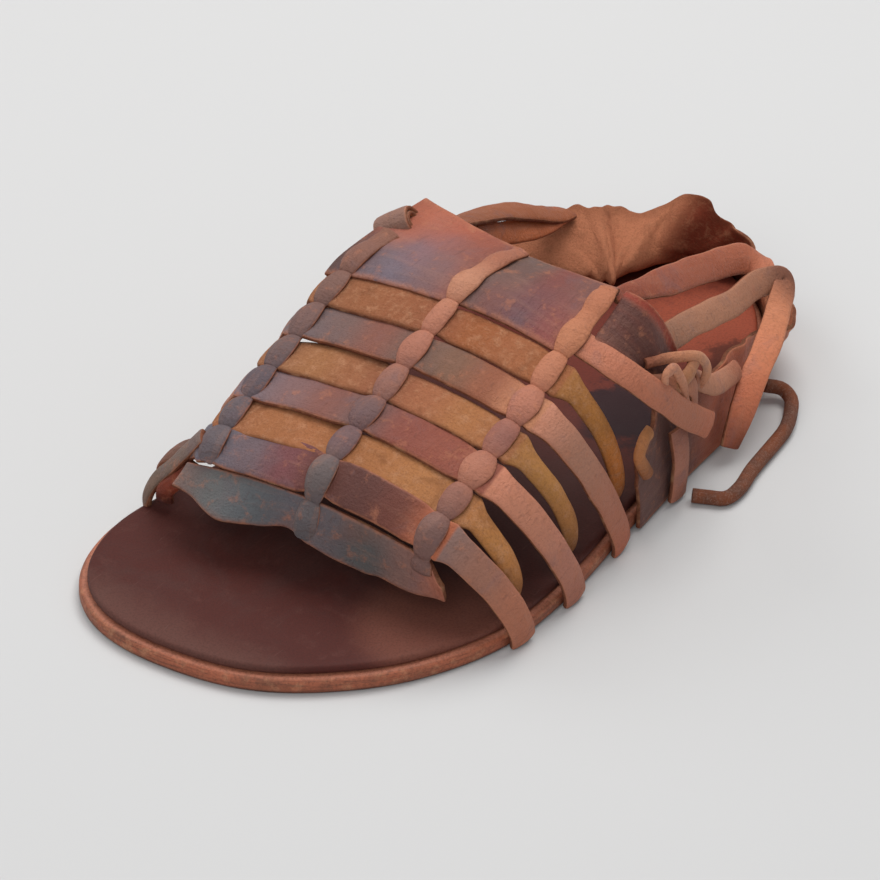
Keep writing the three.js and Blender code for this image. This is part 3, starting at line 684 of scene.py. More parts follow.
def grain_leather(name):
    """Grain side of dry worn leather: the piece's own colour, mottled, with fine pores and creases."""
    net = Net(name)
    here, lay = net.place(), net.attribute("lay")
    edge = net.parts(lay)[2]
    cloud = net.clouds(here, 95.0, 4.0, 0.6, 0.6)
    blotch = net.clouds(here, 260.0, 5.0, 0.65)
    speck = net.clouds(here, 1300.0, 4.0, 0.68)
    creases = net.clouds(lay, (560.0, 150.0, 1.0), 4.0, 0.6, 0.8)
    streaks = net.clouds(lay, (60.0, 420.0, 1.0), 3.0, 0.55, 0.5)
    pores = net.node("ShaderNodeTexVoronoi", {"feature": "F1"}, {"Vector": here, "Scale": 1500.0})
    wear = (0.45, 0.17, 0.09)
    colour = net.stains(
        net.attribute("tint", "Color"),
        (cloud, 0.54, 0.72, 0.32, srgb((108, 88, 94))),
        (blotch, 0.53, 0.72, 0.45, wear),
        (streaks, 0.5, 0.75, 0.16, (0.4, 0.2, 0.14)),
        (speck, 0.48, 0.68, 0.18, (0.08, 0.028, 0.02)),
        (creases, 0.57, 0.74, 0.26, (0.08, 0.03, 0.022)),
        (edge, 0.84, 1.0, net.between(blotch, 0.32, 0.55) * 0.65, wear),
    )
    net.surface(Base_Color=colour, Roughness=0.5 + 0.3 * blotch, Specular_IOR_Level=0.35)
    fine = net.bump(pores * 0.5 + speck * 0.9, 0.0003, 0.8)
    net.surface(Normal=net.bump(creases * 0.8 + blotch * 0.5 + streaks * 0.3, 0.0011, 0.6, fine))
    return net.material


def suede_leather(name, tone=None, dark=(0.18, 0.065, 0.03), pale=(0.62, 0.33, 0.19)):
    """Flesh side of the leather: matt, fibrous, its colour uneven and darker where it was handled."""
    net = Net(name)
    here, lay = net.place(), net.attribute("lay")
    edge = net.parts(lay)[2]
    fibres = net.clouds(lay, (420.0, 1500.0, 1.0), 5.0, 0.7, 1.2)
    nap = net.clouds(here, 1500.0, 5.0, 0.78)
    cloud = net.clouds(here, 110.0, 4.0, 0.6, 0.5)
    stain = net.clouds(here, 330.0, 5.0, 0.7)
    colour = net.stains(
        tone or net.attribute("tint", "Color"),
        (cloud, 0.5, 0.72, 0.4, dark), (stain, 0.48, 0.68, 0.4, pale), (nap, 0.46, 0.64, 0.32, dark),
        (fibres, 0.5, 0.72, 0.3, pale), (edge, 0.8, 1.0, 0.4, dark),
    )
    net.surface(Base_Color=colour, Roughness=0.85 + 0.1 * nap, Specular_IOR_Level=0.15)
    fluff = net.bump(nap * 0.9 + fibres * 0.6, 0.0007, 0.9)
    net.surface(Normal=net.bump(cloud + stain * 0.7, 0.0014, 0.6, fluff))
    return net.material


def cut_edge(name, tone):
    """Raw cut edge of a thong."""
    net = Net(name)
    here = net.place()
    layers = net.clouds(here, 900.0, 4.0, 0.7, 1.0)
    blotch = net.clouds(here, 200.0, 3.0)
    colour = net.stains(tone, (layers, 0.4, 0.65, 0.6, (0.09, 0.035, 0.02)),
                        (blotch, 0.5, 0.7, 0.4, (0.5, 0.28, 0.15)))
    net.surface(Base_Color=colour, Roughness=0.8 + 0.1 * layers, Specular_IOR_Level=0.2,
                Normal=net.bump(layers, 0.0004, 0.7))
    return net.material


def insole_leather(name, tone, worn):
    """Smooth dark footbed: plum brown, grey and rubbed at the toe, red and stained under the heel, with
    painted shade, a painted shadow and two painted pools of light.
    """
    net = Net(name)
    here = net.place()
    x, y, z = net.parts(here)
    cloud = net.clouds(here, 42.0, 5.0, 0.6, 0.8)
    blotch = net.clouds(here, 160.0, 5.0, 0.65)
    speck = net.clouds(here, 1400.0, 3.0, 0.6)
    scratch = net.clouds(here, (90.0, 900.0, 90.0), 3.0, 0.5, 0.6)
    across, along = x + 0.03 * cloud + 0.012 * blotch - 0.021, y + 0.03 * blotch - 0.015
    colour = net.stains(
        tone,
        (cloud, 0.42, 0.68, 0.6, (0.075, 0.03, 0.026)), (blotch, 0.52, 0.74, 0.4, (0.12, 0.045, 0.037)),
    )
    # Painted shade: the insole behind the toe, under the woven upper, is darkened.
    colour = net.mix((1 - net.between(x, 0.045, 0.105)) * 0.15, colour, (0.06, 0.028, 0.022))
    colour = net.stains(
        colour,
        (x + 0.012 * cloud, 0.118, 0.134, 0.6, worn),
        # Painted light: a paler patch on the insole at the front of the outer side.
        (net.patch(x, y, 0.078, 0.046, 0.034), 0.0, 0.9, 0.5, srgb((140, 88, 72))),
        (-1.0 * x + 0.03 * cloud, 0.02, 0.075, 0.85, srgb((116, 50, 38))),
        # Painted light: a paler orange patch on the heel seat beside the ankle strap.
        (net.patch(across, along, -0.1, 0.026, 0.034), 0.0, 0.9, 0.6, srgb((170, 84, 58))),
        (net.patch(across, along, -0.041, 0.029, 0.022), 0.1, 0.9, 0.85, srgb((34, 27, 34))),
        # Painted shadow: a dark patch at the heel's outer side, under the rim of the wall beside it.
        (net.patch(across, along, -0.084, 0.041, 0.016), 0.1, 0.9, 0.6, (0.03, 0.01, 0.008)),
        (speck, 0.42, 0.66, 0.25, (0.03, 0.014, 0.012)),
        (scratch, 0.66, 0.76, 0.16, (0.2, 0.11, 0.095)),
    )
    net.surface(Base_Color=colour, Roughness=0.55 + 0.2 * blotch, Specular_IOR_Level=0.18)
    fine = net.bump(speck, 0.0002, 0.5)
    net.surface(Normal=net.bump(cloud * 0.8 + blotch * 0.5, 0.0007, 0.5, fine))
    return net.material


def sole_leather(name, tone, lip):
    """Waxed side of the outsole with its layers and a painted shadow along its foot, and the paler lip
    round the insole, rubbed and painted with a highlight.
    """
    net = Net(name)
    here = net.place()
    height = net.parts(here)[2]
    layers = net.clouds(here, (60.0, 60.0, 1500.0), 4.0, 0.6, 0.4)
    cloud = net.clouds(here, 75.0, 4.0, 0.6, 0.5)
    speck = net.clouds(here, 1300.0, 4.0, 0.65)
    blotch = net.clouds(here, 260.0, 4.0, 0.6)
    colour = net.stains(
        tone,
        (cloud, 0.42, 0.66, 0.7, (0.2, 0.075, 0.04)), (layers, 0.45, 0.68, 0.55, (0.09, 0.035, 0.022)),
        # The lip, last on the next line: paler partly by rubbing, partly as a painted highlight on its
        # upward face.
        (blotch, 0.5, 0.7, 0.5, (0.5, 0.24, 0.13)), (height, 0.0046, 0.005, 0.8, lip),
    )
    # Painted shadow: the side of the sole is darkened over its lowest 2.2 mm, towards the floor.
    colour = net.mix((1 - net.between(height, 0.0, 0.0022)) * 0.7, colour, (0.05, 0.026, 0.02))
    colour = net.stains(colour, (speck, 0.42, 0.66, 0.35, (0.04, 0.018, 0.012)))
    net.surface(Base_Color=colour, Roughness=0.5 + 0.25 * blotch, Specular_IOR_Level=0.4)
    fine = net.bump(speck * 0.6 + layers, 0.0004, 0.6)
    net.surface(Normal=net.bump(cloud, 0.0008, 0.5, fine))
    return net.material


def lace_leather(name, tone):
    """Narrow dark thong, mottled and flecked pale along its fibres."""
    net = Net(name)
    here = net.place()
    cloud = net.clouds(here, 120.0, 4.0, 0.6)
    fibres = net.clouds(here, 1300.0, 4.0, 0.7, 1.0)
    colour = net.stains(tone, (cloud, 0.4, 0.66, 0.6, (0.07, 0.042, 0.034)),
                        (fibres, 0.45, 0.7, 0.5, (0.3, 0.19, 0.15)))
    net.surface(Base_Color=colour, Roughness=0.7 + 0.2 * fibres, Specular_IOR_Level=0.25,
                Normal=net.bump(fibres, 0.0004, 0.8))
    return net.material


def floor_paper(name, tone):
    """Plain pale studio paper."""
    net = Net(name)
    cloud = net.clouds(net.place(), 3.0, 2.0)
    shaded = tuple(c * 0.96 for c in tone)
    net.surface(Base_Color=net.mix(cloud * 0.2, tone, shaded), Roughness=0.9, Specular_IOR_Level=0.1)
    return net.material


FINISHES = {}


def finish(name):
    """The shared finishes, each made once."""
    if name not in FINISHES:
        colours = bpy.context.scene.sandal_colours
        makers = {
            "grain": lambda: grain_leather("grain_leather"),
            "suede": lambda: suede_leather("suede_leather"),
            "lining": lambda: suede_leather("flesh_side", tuple(srgb((176, 120, 82)))),
            "cup_suede": lambda: suede_leather("cup_suede", None, (0.16, 0.05, 0.024), (0.38, 0.16, 0.085)),
            "edge": lambda: cut_edge("cut_edge", srgb((132, 80, 58))),
            "insole": lambda: insole_leather("insole_leather", colours.insole, colours.insole_worn),
            "sole": lambda: sole_leather("sole_leather", colours.sole_side, colours.sole_lip),
            "floor": lambda: floor_paper("studio_paper", colours.floor),
        }
        FINISHES[name] = makers[name]()
    return FINISHES[name]


def skins(face="grain", back="lining"):
    """The materials of a piece's face, its back and its cut edge."""
    return [finish(face), finish(back), finish("edge")]


def millimetres(size):
    """One of the sizes that a user would change."""
    return getattr(bpy.context.scene.sandal_sizes, size) * 1000


# Lines of the woven sheet and of the thongs. Widths in millimetres.

BAND_WIDTH, NECK_WIDTH = 12.2, 3.8
# Cross bands: cuts along each side and over the top.
SIDE_CUTS, TOP_CUTS = 40, 96
# Columns: cuts from one band to the next, and how long the rounded tip is, counted in bands.
STATIONS_A_BAND, TIP = 26, 0.12


def band_strip(band):
    """A cross band from its outer foot over the top to its inner foot, and its stations."""
    rolled = band % 2 == 0
    edge = 1 + HALF_DISK
    where = [(1, t) for t in np.linspace(1, 0, SIDE_CUTS)[:-1]]
    where += [(0, v) for v in np.linspace(edge, -edge, TOP_CUTS)]
    where += [(-1, t) for t in np.linspace(0, 1, SIDE_CUTS)[1:]]
    rows = []
    for side, t in where:
        if side:
            end = 7.2 if rolled else STRAP + 0.4 if side > 0 else STRAP - 1
            roll = 1.5 if rolled and side > 0 else 0.9 if rolled else 0.25
            rows.append((strap_point(band, side, 0, t),
                         strap_point(band, side, 1, t) - strap_point(band, side, -1, t),
                         BAND_WIDTH + (end - BAND_WIDTH) * ramp(t, -0.05, 0.16),
                         0.12 + roll * ramp(t, 0.04, 0.25)))
        else:
            inwards = ramp(-t, -0.1, 0.2)
            across = unit(top_point(band + HALF_BAND, t) - top_point(band - HALF_BAND, t))
            pinch = max(1 - abs(t - round(t)) / 0.17, 0) if abs(t) < 1.2 else 0
            rows.append((top_point(band, t), across - np.array([0, 0, 0.11 + 0.05 * inwards]),
                         (12.7 + 1.9 * inwards) * (1.0 - 0.16 * pinch), 0.12))
    return Strip(*zip(*rows), 0.35), where


def band_tint(band, where):
    """Colours along a cross band, its inner side strap darkened as painted shade."""
    def tint(u, a, point):
        side, t = where[station(u, len(where))]
        if side == 0:
            return handled(blend_stops(BAND_TINTS[band - 1], (1 - t) / 2), band % 2)
        # Painted shade: the side strap on the inner, far side is darkened, the first band's the most.
        return blend_stops(SIDE_TINTS[band - 1], t) * (1 if side > 0 else 0.42 if band == 1 else 0.7)
    return tint


def column_strip(v, s_from, s_to):
    """A scalloped thong that runs from the toe to the instep over the bands, and its stations."""
    where = np.linspace(s_from, s_to, int((s_to - s_from) * STATIONS_A_BAND))
    rows = []
    for s in where:
        along = unit(top_point(s + 0.1, v) - top_point(s - 0.1, v))
        across = unit(top_point(s, v + 0.05) - top_point(s, v - 0.05))
        up = np.cross(across, along)
        up = up if up[2] > 0 else -up
        wide = np.interp(s, range(9), COLUMN_WIDTHS[v])
        over = abs(math.cos(math.pi * s)) ** 0.6
        if s > 7.35:
            over = max(over, 0.6)
        if s < 0.4 and s_from < 0:
            over = max(over, 0.7)
        if s < s_from + TIP:
            wide *= max(math.sqrt(max(1 - ((s_from + TIP - s) / TIP) ** 2, 0)), 0.2)
            over = max(over, 0.6)
        lift = 0.5 + 1.45 * over * (1 if s > 0.5 else 0.6)
        rows.append((top_point(s, v) + up * lift, across, NECK_WIDTH + (wide - NECK_WIDTH) * over,
                     0.3 + 0.75 * over))
    middles, acrosses, widths, crowns = zip(*rows)
    return Strip(middles, acrosses, widths, 0.2, crowns), where


def thong_strip(route, width, steps, curl):
    """A loose thong along its route."""
    spots = [np.array(row[:3]) * (HALF_LENGTH, HALF_WIDTH, INSTEP) for row in route]
    line = smooth_line(spots, steps)
    return Strip(line, faced(line, [row[3] for row in route]), width, curl, 0.3)


def plain_tint(*stops):
    """Colours along a strip, evenly spaced."""
    return lambda u, a, point: blend_stops(stops, u)


# Properties.

def length(label, about, value):
    """A size in metres."""
    return bpy.props.FloatProperty(name=label, description=about, default=value, min=0.0001, max=1.0,
                                   precision=4, unit="LENGTH")


def colour(label, about, value):
    """A colour, given out of 255."""
    return bpy.props.FloatVectorProperty(name=label, description=about, default=tuple(srgb(value)),
                                         size=3, min=0.0, max=1.0, subtype="COLOR")


class SandalSizes(bpy.types.PropertyGroup):
    """Sizes that a user would change."""
    band_thickness: length("Band thickness", "Thickness of the cross bands", 0.0020)
    column_thickness: length("Column thickness", "Thickness of the scalloped column thongs", 0.0015)
    ankle_width: length("Ankle strap width", "Width of the straps to the heel", 0.010)
    strap_thickness: length("Strap thickness", "Thickness of the loose thongs", 0.0020)
    cup_thickness: length("Cup thickness", "Thickness of the heel cup", 0.0018)
    lace_diameter: length("Lace diameter", "Thickness of the loose lace", 0.0044)


class SandalColours(bpy.types.PropertyGroup):
    """Colours that a user would change."""
    insole: colour("Insole", "Plum brown of the footbed", (78, 36, 31))
    insole_worn: colour("Insole wear", "Rubbed grey brown at the toe", (104, 70, 62))
    sole_side: colour("Sole side", "Waxed side of the outsole", (170, 96, 68))
    sole_lip: colour("Sole lip", "Paler lip round the insole", (178, 112, 88))
    lace: colour("Lace", "Dark brown of the loose lace", (122, 68, 44))
    floor: colour("Floor", "Pale studio paper", (206, 207, 208))


# Operators, one for each piece or group of like pieces.

class SANDAL_OT_camera(bpy.types.Operator):
    """Places the camera at the photograph's angle to the shoe"""
    bl_idname = "sandal.camera"
    bl_label = "Camera"

    def execute(self, context):
        ahead = Vector((-0.6510, -0.5086, -0.5635))
        right = Vector((-0.6157, 0.7880, 0.0))
        up = Vector((-0.4441, -0.3469, 0.8261))
        # The sandal lies to the right of the photo's middle and below it, in pixels of the photo.
        reach, aside, below = 2200, 168, 24
        aim = (ahead * reach + right * aside - up * below).normalized()
        upright = (up - aim * up.dot(aim)).normalized()
        side = aim.cross(upright)
        data = bpy.data.cameras.new("camera")
        data.lens, data.sensor_width, data.clip_start = 168.0, 36.0, 0.05
        camera = bpy.data.objects.new("camera", data)
        context.scene.collection.objects.link(camera)
        camera.location = (0.8445, 0.53135, 0.702)
        turn = [[side[k], upright[k], -aim[k]] for k in range(3)]
        camera.rotation_euler = Matrix(turn).to_euler()
        context.scene.camera = camera
        return {"FINISHED"}


class SANDAL_OT_lace(bpy.types.Operator):
    """Lays the loose lace beside the heel"""
    bl_idname = "sandal.lace"
    bl_label = "Loose lace"

    def execute(self, context):
        diameter = context.scene.sandal_sizes.lace_diameter
        points = smooth_line([np.array(p, float) for p in LACE_ROUTE], 36)
        curve = bpy.data.curves.new("loose_lace", "CURVE")
        curve.dimensions = "3D"
        curve.bevel_depth = diameter / 2
        curve.bevel_resolution = 5
        curve.use_fill_caps = True
        curve.resolution_u = 1
        spline = curve.splines.new("POLY")
        spline.points.add(len(points) - 1)
        for place, point in zip(points, spline.points):
            point.co = (*(place * MM), 1.0)
        lace = bpy.data.objects.new("lace_thong", curve)
        context.scene.collection.objects.link(lace)
        curve.materials.append(lace_leather("lace_leather", tuple(context.scene.sandal_colours.lace)))
        set_down(lace, "loose_lace")
        return {"FINISHED"}


def ring_piece(name, rings, material, top_shape=None):
    """A closed layer of the sole: rings of (outwards, height), its two faces drawn in to the middle."""
    turns, inner = 240, 16

    def drawn_in(level, share):
        made = []
        for x, y, z in level:
            middle = x * (1 - share * 0.55)
            spine = (side_edge(middle, 1) + side_edge(middle, -1)) / 2
            made.append((middle, y + (spine - y) * share, z))
        return made

    levels = [[(*outline(i * 360 / turns, out), z) for i in range(turns)] for out, z in rings]
    rows = [drawn_in(levels[0], k / inner) for k in range(inner - 1, 0, -1)] + levels
    rows += [drawn_in(levels[-1], k / inner) for k in range(1, inner)]
    flat_top = len(rows) - inner
    verts = []
    for index, row in enumerate(rows):
        for x, y, z in row:
            if top_shape and index >= flat_top:
                z = z + top_shape(x, y, (index - flat_top) / inner)
            verts.append((x * MM, y * MM, z * MM))
    faces = []
    for start in range(0, (len(rows) - 1) * turns, turns):
        for i in range(turns):
            j = (i + 1) % turns
            faces.append((start + i, start + j, start + turns + j, start + turns + i))
    faces.append(tuple(range(turns - 1, -1, -1)))
    faces.append(tuple(range(len(verts) - turns, len(verts))))
    layer = bpy.data.meshes.new(name)
    layer.from_pydata(verts, [], faces)
    layer.materials.append(material)
    piece = bpy.data.objects.new(name, layer)
    bpy.context.scene.collection.objects.link(piece)
    only(piece)
    bpy.ops.object.mode_set(mode="EDIT")
    bpy.ops.mesh.select_all(action="SELECT")
    bpy.ops.mesh.remove_doubles(threshold=0.00001)
    bpy.ops.mesh.normals_make_consistent(inside=False)
    bpy.ops.object.mode_set(mode="OBJECT")
    bpy.ops.object.shade_smooth_by_angle(angle=math.radians(50))
    return piece


class SANDAL_OT_outsole(bpy.types.Operator):
    """Makes the outsole with its rounded waxed edge"""
    bl_idname = "sandal.outsole"
    bl_label = "Outsole"

    def execute(self, context):
        rings = ((-1.6, 0), (-0.7, 0.2), (-0.2, 0.8), (0.05, 1.7), (-0.1, 2.5), (0.05, 3.2), (0, 3.9),
                 (-0.35, 4.5), (-1, 4.9), (-1.6, OUTSOLE))
        set_down(ring_piece("outsole_leather", rings, finish("sole")), "outsole")
        return {"FINISHED"}


class SANDAL_OT_insole(bpy.types.Operator):
    """Makes the insole with its worn footbed"""
    bl_idname = "sandal.insole"
    bl_label = "Insole"

    def execute(self, context):
        low = OUTSOLE + GAP
        rings = [(-INSOLE_INSET - out, low + up) for out, up in (
            (0.5, 0), (0, 0.5), (0, 1.5), (0.3, 2.1), (0.9, 2.4), (1.8, INSOLE))]

        def worn(x, y, inwards):
            dip = -0.35 * math.exp(-((x - 55) / 34) ** 2 - ((y + 6) / 30) ** 2)
            dip += -0.3 * math.exp(-((x + 95) / 24) ** 2 - (y / 22) ** 2)
            return (dip + 0.12 * noise.noise(Vector((x / 17, y / 17, 1.3)))) * min(inwards * 6, 1)

        set_down(ring_piece("insole_leather", rings, finish("insole"), worn), "insole")
        return {"FINISHED"}


class SANDAL_OT_bands(bpy.types.Operator):
    """Weaves the six cross bands with their side straps"""
    bl_idname = "sandal.bands"
    bl_label = "Cross bands and side straps"

    def execute(self, context):
        made = []
        for band in range(1, 7):
            strip, where = band_strip(band)
            face = "suede" if band % 2 == 0 else "grain"
            made.append(lay_strip(f"band_{band}", strip, band_tint(band, where),
                                  millimetres("band_thickness"), skins(face), 8, 0.3, band * 3.1))
        set_down(join_pieces("cross_bands", made), "upper")
        return {"FINISHED"}


class SANDAL_OT_columns(bpy.types.Operator):
    """Runs the three scalloped column thongs over the bands"""
    bl_idname = "sandal.columns"
    bl_label = "Column thongs"

    def execute(self, context):
        thick = millimetres("column_thickness")
        made = []
        for v, start, end in ((1, -0.3, 8.6), (0, -0.36, 8.75), (-1, 0.58, 7.75)):
            strip, where = column_strip(v, start, end)

            def tint(u, a, point, v=v, where=where):
                return handled(blend_stops(COLUMN_TINTS[v], where[station(u, len(where))] / 8), 0.8)

            made.append(lay_strip(f"column_{v}", strip, tint, thick, skins(), 8, 0.2, 20 + v))
        set_down(join_pieces("column_thongs", made), "upper")
        return {"FINISHED"}


class SANDAL_OT_flap(bpy.types.Operator):
    """Cuts the toe flap with its wavy lower edge"""
    bl_idname = "sandal.flap"
    bl_label = "Toe flap"

    def execute(self, context):
        def shape(u, a):
            v = 1.18 - 2.36 * u
            low = table_value(FLAP_EDGE, 1, v) + 0.05 * wander((v * 40, 0, 0), 9, 4)
            high = 0.52 - 0.45 * ramp(v, 1.04, 1.18)
            fall = 0.5 - a
            point = top_point(high + (low - high) * fall, v)
            point = point + np.array([0.9, 0, 0.35]) * math.sin(v * 8.5 + 0.6) * fall * 1.6
            return point, u * 90, a * 16

        def tint(u, a, point):
            base = blend_stops(((196, 124, 100), (140, 110, 104), (104, 108, 110), (110, 104, 110),
                                (112, 112, 120), (104, 112, 118), (112, 116, 118), (128, 110, 106)), u)
            warm = srgb((150, 96, 78))
            k = 0.35 * ramp(wander(point, 14, 3), 0.1, 0.5) + 0.35 * ramp(0.5 - a, 0.85, 1)
            return handled((1 - k) * base + k * warm, 1.1)

        set_down(cut_piece("toe_flap", (110, 14), shape, tint, millimetres("band_thickness"), skins()),
                 "upper")
        return {"FINISHED"}


def sheet_panel(name, v_from, v_to, s_from, s_to, stops, thick, seed):
    """A flat panel of the woven sheet between two columns."""
    def shape(u, a):
        point = top_point(s_from + (s_to - s_from) * (a + 0.5), v_from + (v_to - v_from) * u)
        bend = 0.8 * (1 - (2 * u - 1) ** 2) * (1 - 4 * a * a) + 0.35 * wander(point, 9, seed)
        return point + np.array([0, 0, 1.0]) * bend, u * 36, a * 24

    def tint(u, a, point):
        k = ramp(a + 0.2 * wander(point, 10, seed + 2), -0.35, 0.35)
        return handled((1 - k) * blend_stops(stops[0], u) + k * blend_stops(stops[1], u))

    return cut_piece(name, (50, 30), shape, tint, thick, skins())


class SANDAL_OT_rear_panels(bpy.types.Operator):
    """Cuts the two broad panels at the instep, the wing and the last side straps"""
    bl_idname = "sandal.rear_panels"
    bl_label = "Instep panels"

    def execute(self, context):
        thick = millimetres("band_thickness")
        outer_stops = (((184, 112, 82), (150, 84, 80), (122, 84, 90), (132, 88, 84), (122, 100, 96)),
                       ((136, 90, 80), (130, 88, 82), (138, 76, 67), (114, 90, 84), (120, 96, 86)))
        inner_stops = (((156, 98, 86), (136, 104, 106), (126, 114, 128), (120, 104, 112), (96, 70, 66)),
                       ((134, 80, 68), (164, 92, 72), (182, 102, 78), (188, 108, 82), (172, 98, 74)))
        made = [
            sheet_panel("outer_panel", 1.06, 0.02, 6.5, 8.85, outer_stops, thick, 1),
            sheet_panel("inner_panel", -0.02, -1.2, 6.42, 9.02, inner_stops, thick, 5),
        ]

        def wing(u, a):
            across = -1.9 + 3.75 * (a + 0.5)
            swell = 0.7 * math.sin(a * 9 + u * 2) * ramp(u, 0.1, 0.6)
            return strap_point(WING, 1, across, u) + np.array([0.2, 1.0, 0.3]) * swell, u * 24, a * 22

        def wing_tint(u, a, point):
            across = a + 0.1 * wander(point, 8, 7)
            dark = ramp(across, -0.56, -0.4) * (1 - ramp(across, 0.2, 0.36))
            brown = srgb((150, 88, 70))
            warm = brown + ramp(a, 0.2, 0.4) * (srgb((146, 62, 46)) - brown)
            base = (1 - dark) * warm + dark * srgb((94, 55, 48))
            streak = 0.4 * ramp(math.sin(a * 26 + 2 * u), 0.2, 0.9)
            return (1 - streak) * base + streak * srgb((112, 64, 54))

        made.append(cut_piece("wing", (30, 30), wing, wing_tint, thick, skins(), flip=True))

        for side in (1, -1):
            # The first station lies under the panel.
            steps = np.maximum(np.linspace(-0.02, 1, 60)[1:], 0)
            middles = [strap_point(REAR_PANEL, side, 0, t) for t in steps]
            middles[0] = middles[0] + np.array([0, -side * 4.0, 1.2])
            acrosses = [-side * (strap_point(REAR_PANEL, side, 1, t) - strap_point(REAR_PANEL, side, -1, t))
                        for t in steps]
            strip = Strip(middles, acrosses, STRAP - 0.6, 0.25, 0.4)
            made.append(lay_strip(f"last_strap_{side}", strip, plain_tint(*SIDE_TINTS[6]), thick, skins(),
                                  6, 0.3, 40 + side))
        # The corner's leather turns inwards on itself in a little over two laps.
        centre = top_point(8.15, -1.12) + np.array([0, 0, -1.5])
        turn, cuts = [], 100
        for k in range(cuts):
            angle = math.radians(-30 + 8 * k)
            reach = 4.9 - 3.5 * k / (cuts - 1)
            turn.append(centre + CORNER_ACROSS * (1.1 * reach * math.cos(angle))
                        + CORNER_UP * (reach * math.sin(angle)))
        roll = Strip(turn, [-CORNER_AXIS] * len(turn), 12.0, 0.1, 0.2)
        # Darker towards the inner laps: painted shade inside the curl.
        tint = plain_tint((150, 108, 92), (126, 98, 86), (96, 70, 60))
        made.append(lay_strip("corner_roll", roll, tint, thick * 0.8, skins(), 6, 0.3, 47))
        set_down(join_pieces("instep_panels", made), "upper")
        return {"FINISHED"}


class SANDAL_OT_ankle_straps(bpy.types.Operator):
    """Lays the straps that run from the instep to the heel and back"""
    bl_idname = "sandal.ankle_straps"
    bl_label = "Ankle straps"

    def execute(self, context):
        thick, wide = millimetres("strap_thickness"), millimetres("ankle_width")
        taper = wide * np.interp(np.linspace(0, 1, 70), (0, 0.22, 1), (0.4, 0.9, 1.08))
        high = thong_strip(STRAP_HIGH, taper, len(taper), 0.35)
        low = thong_strip(STRAP_LOW, wide * 0.86, 130, 0.35)
        high_tint = plain_tint((140, 70, 50), (158, 84, 58), (172, 96, 68), (190, 116, 86))
        low_tint = plain_tint((150, 108, 86), (176, 122, 94), (166, 114, 88), (124, 78, 60),
                              (204, 130, 94), (206, 126, 90), (192, 110, 78), (150, 80, 56))
        made = [lay_strip("strap_high", high, high_tint, thick, skins(), 6, 0.4, 51),
                lay_strip("strap_low", low, low_tint, thick, skins(), 6, 0.4, 53)]
        set_down(join_pieces("ankle_straps", made), "upper")
        return {"FINISHED"}


class SANDAL_OT_knot(bpy.types.Operator):
    """Ties the knot at the outer side of the instep"""
    bl_idname = "sandal.knot"
    bl_label = "Knot"

    def execute(self, context):
        thick = millimetres("strap_thickness")
        rows = (
            (KNOT_BACK, 6.5, ((160, 100, 76), (172, 110, 82), (150, 94, 72)), 0.8),
            (KNOT_FRONT, 4.5, ((160, 104, 76), (176, 120, 84), (166, 108, 74)), 1.2),
            (KNOT_BAR, 3.2, ((150, 88, 64), (190, 126, 92), (202, 142, 106), (176, 112, 80)), 1.6),
            (KNOT_TAIL, 6.4, ((150, 94, 70), (176, 120, 92), (180, 122, 94), (160, 98, 74)), 0.9),
            (KNOT_LOOP, 3.0, ((168, 106, 80), (196, 132, 100), (204, 140, 108), (176, 112, 84)), 1.6),
            (CURLED_TIP, 4.0, ((140, 84, 48), (176, 112, 66), (190, 128, 78)), 1.8),
        )
        made = []
        for route, wide, stops, curl in rows:
            made.append(lay_strip("loop", thong_strip(route, wide, 44, curl), plain_tint(*stops),
                                  min(thick, wide * 0.4), skins(), 6, 0.4, 61 + len(made)))
        set_down(join_pieces("knot", made), "upper")
        return {"FINISHED"}


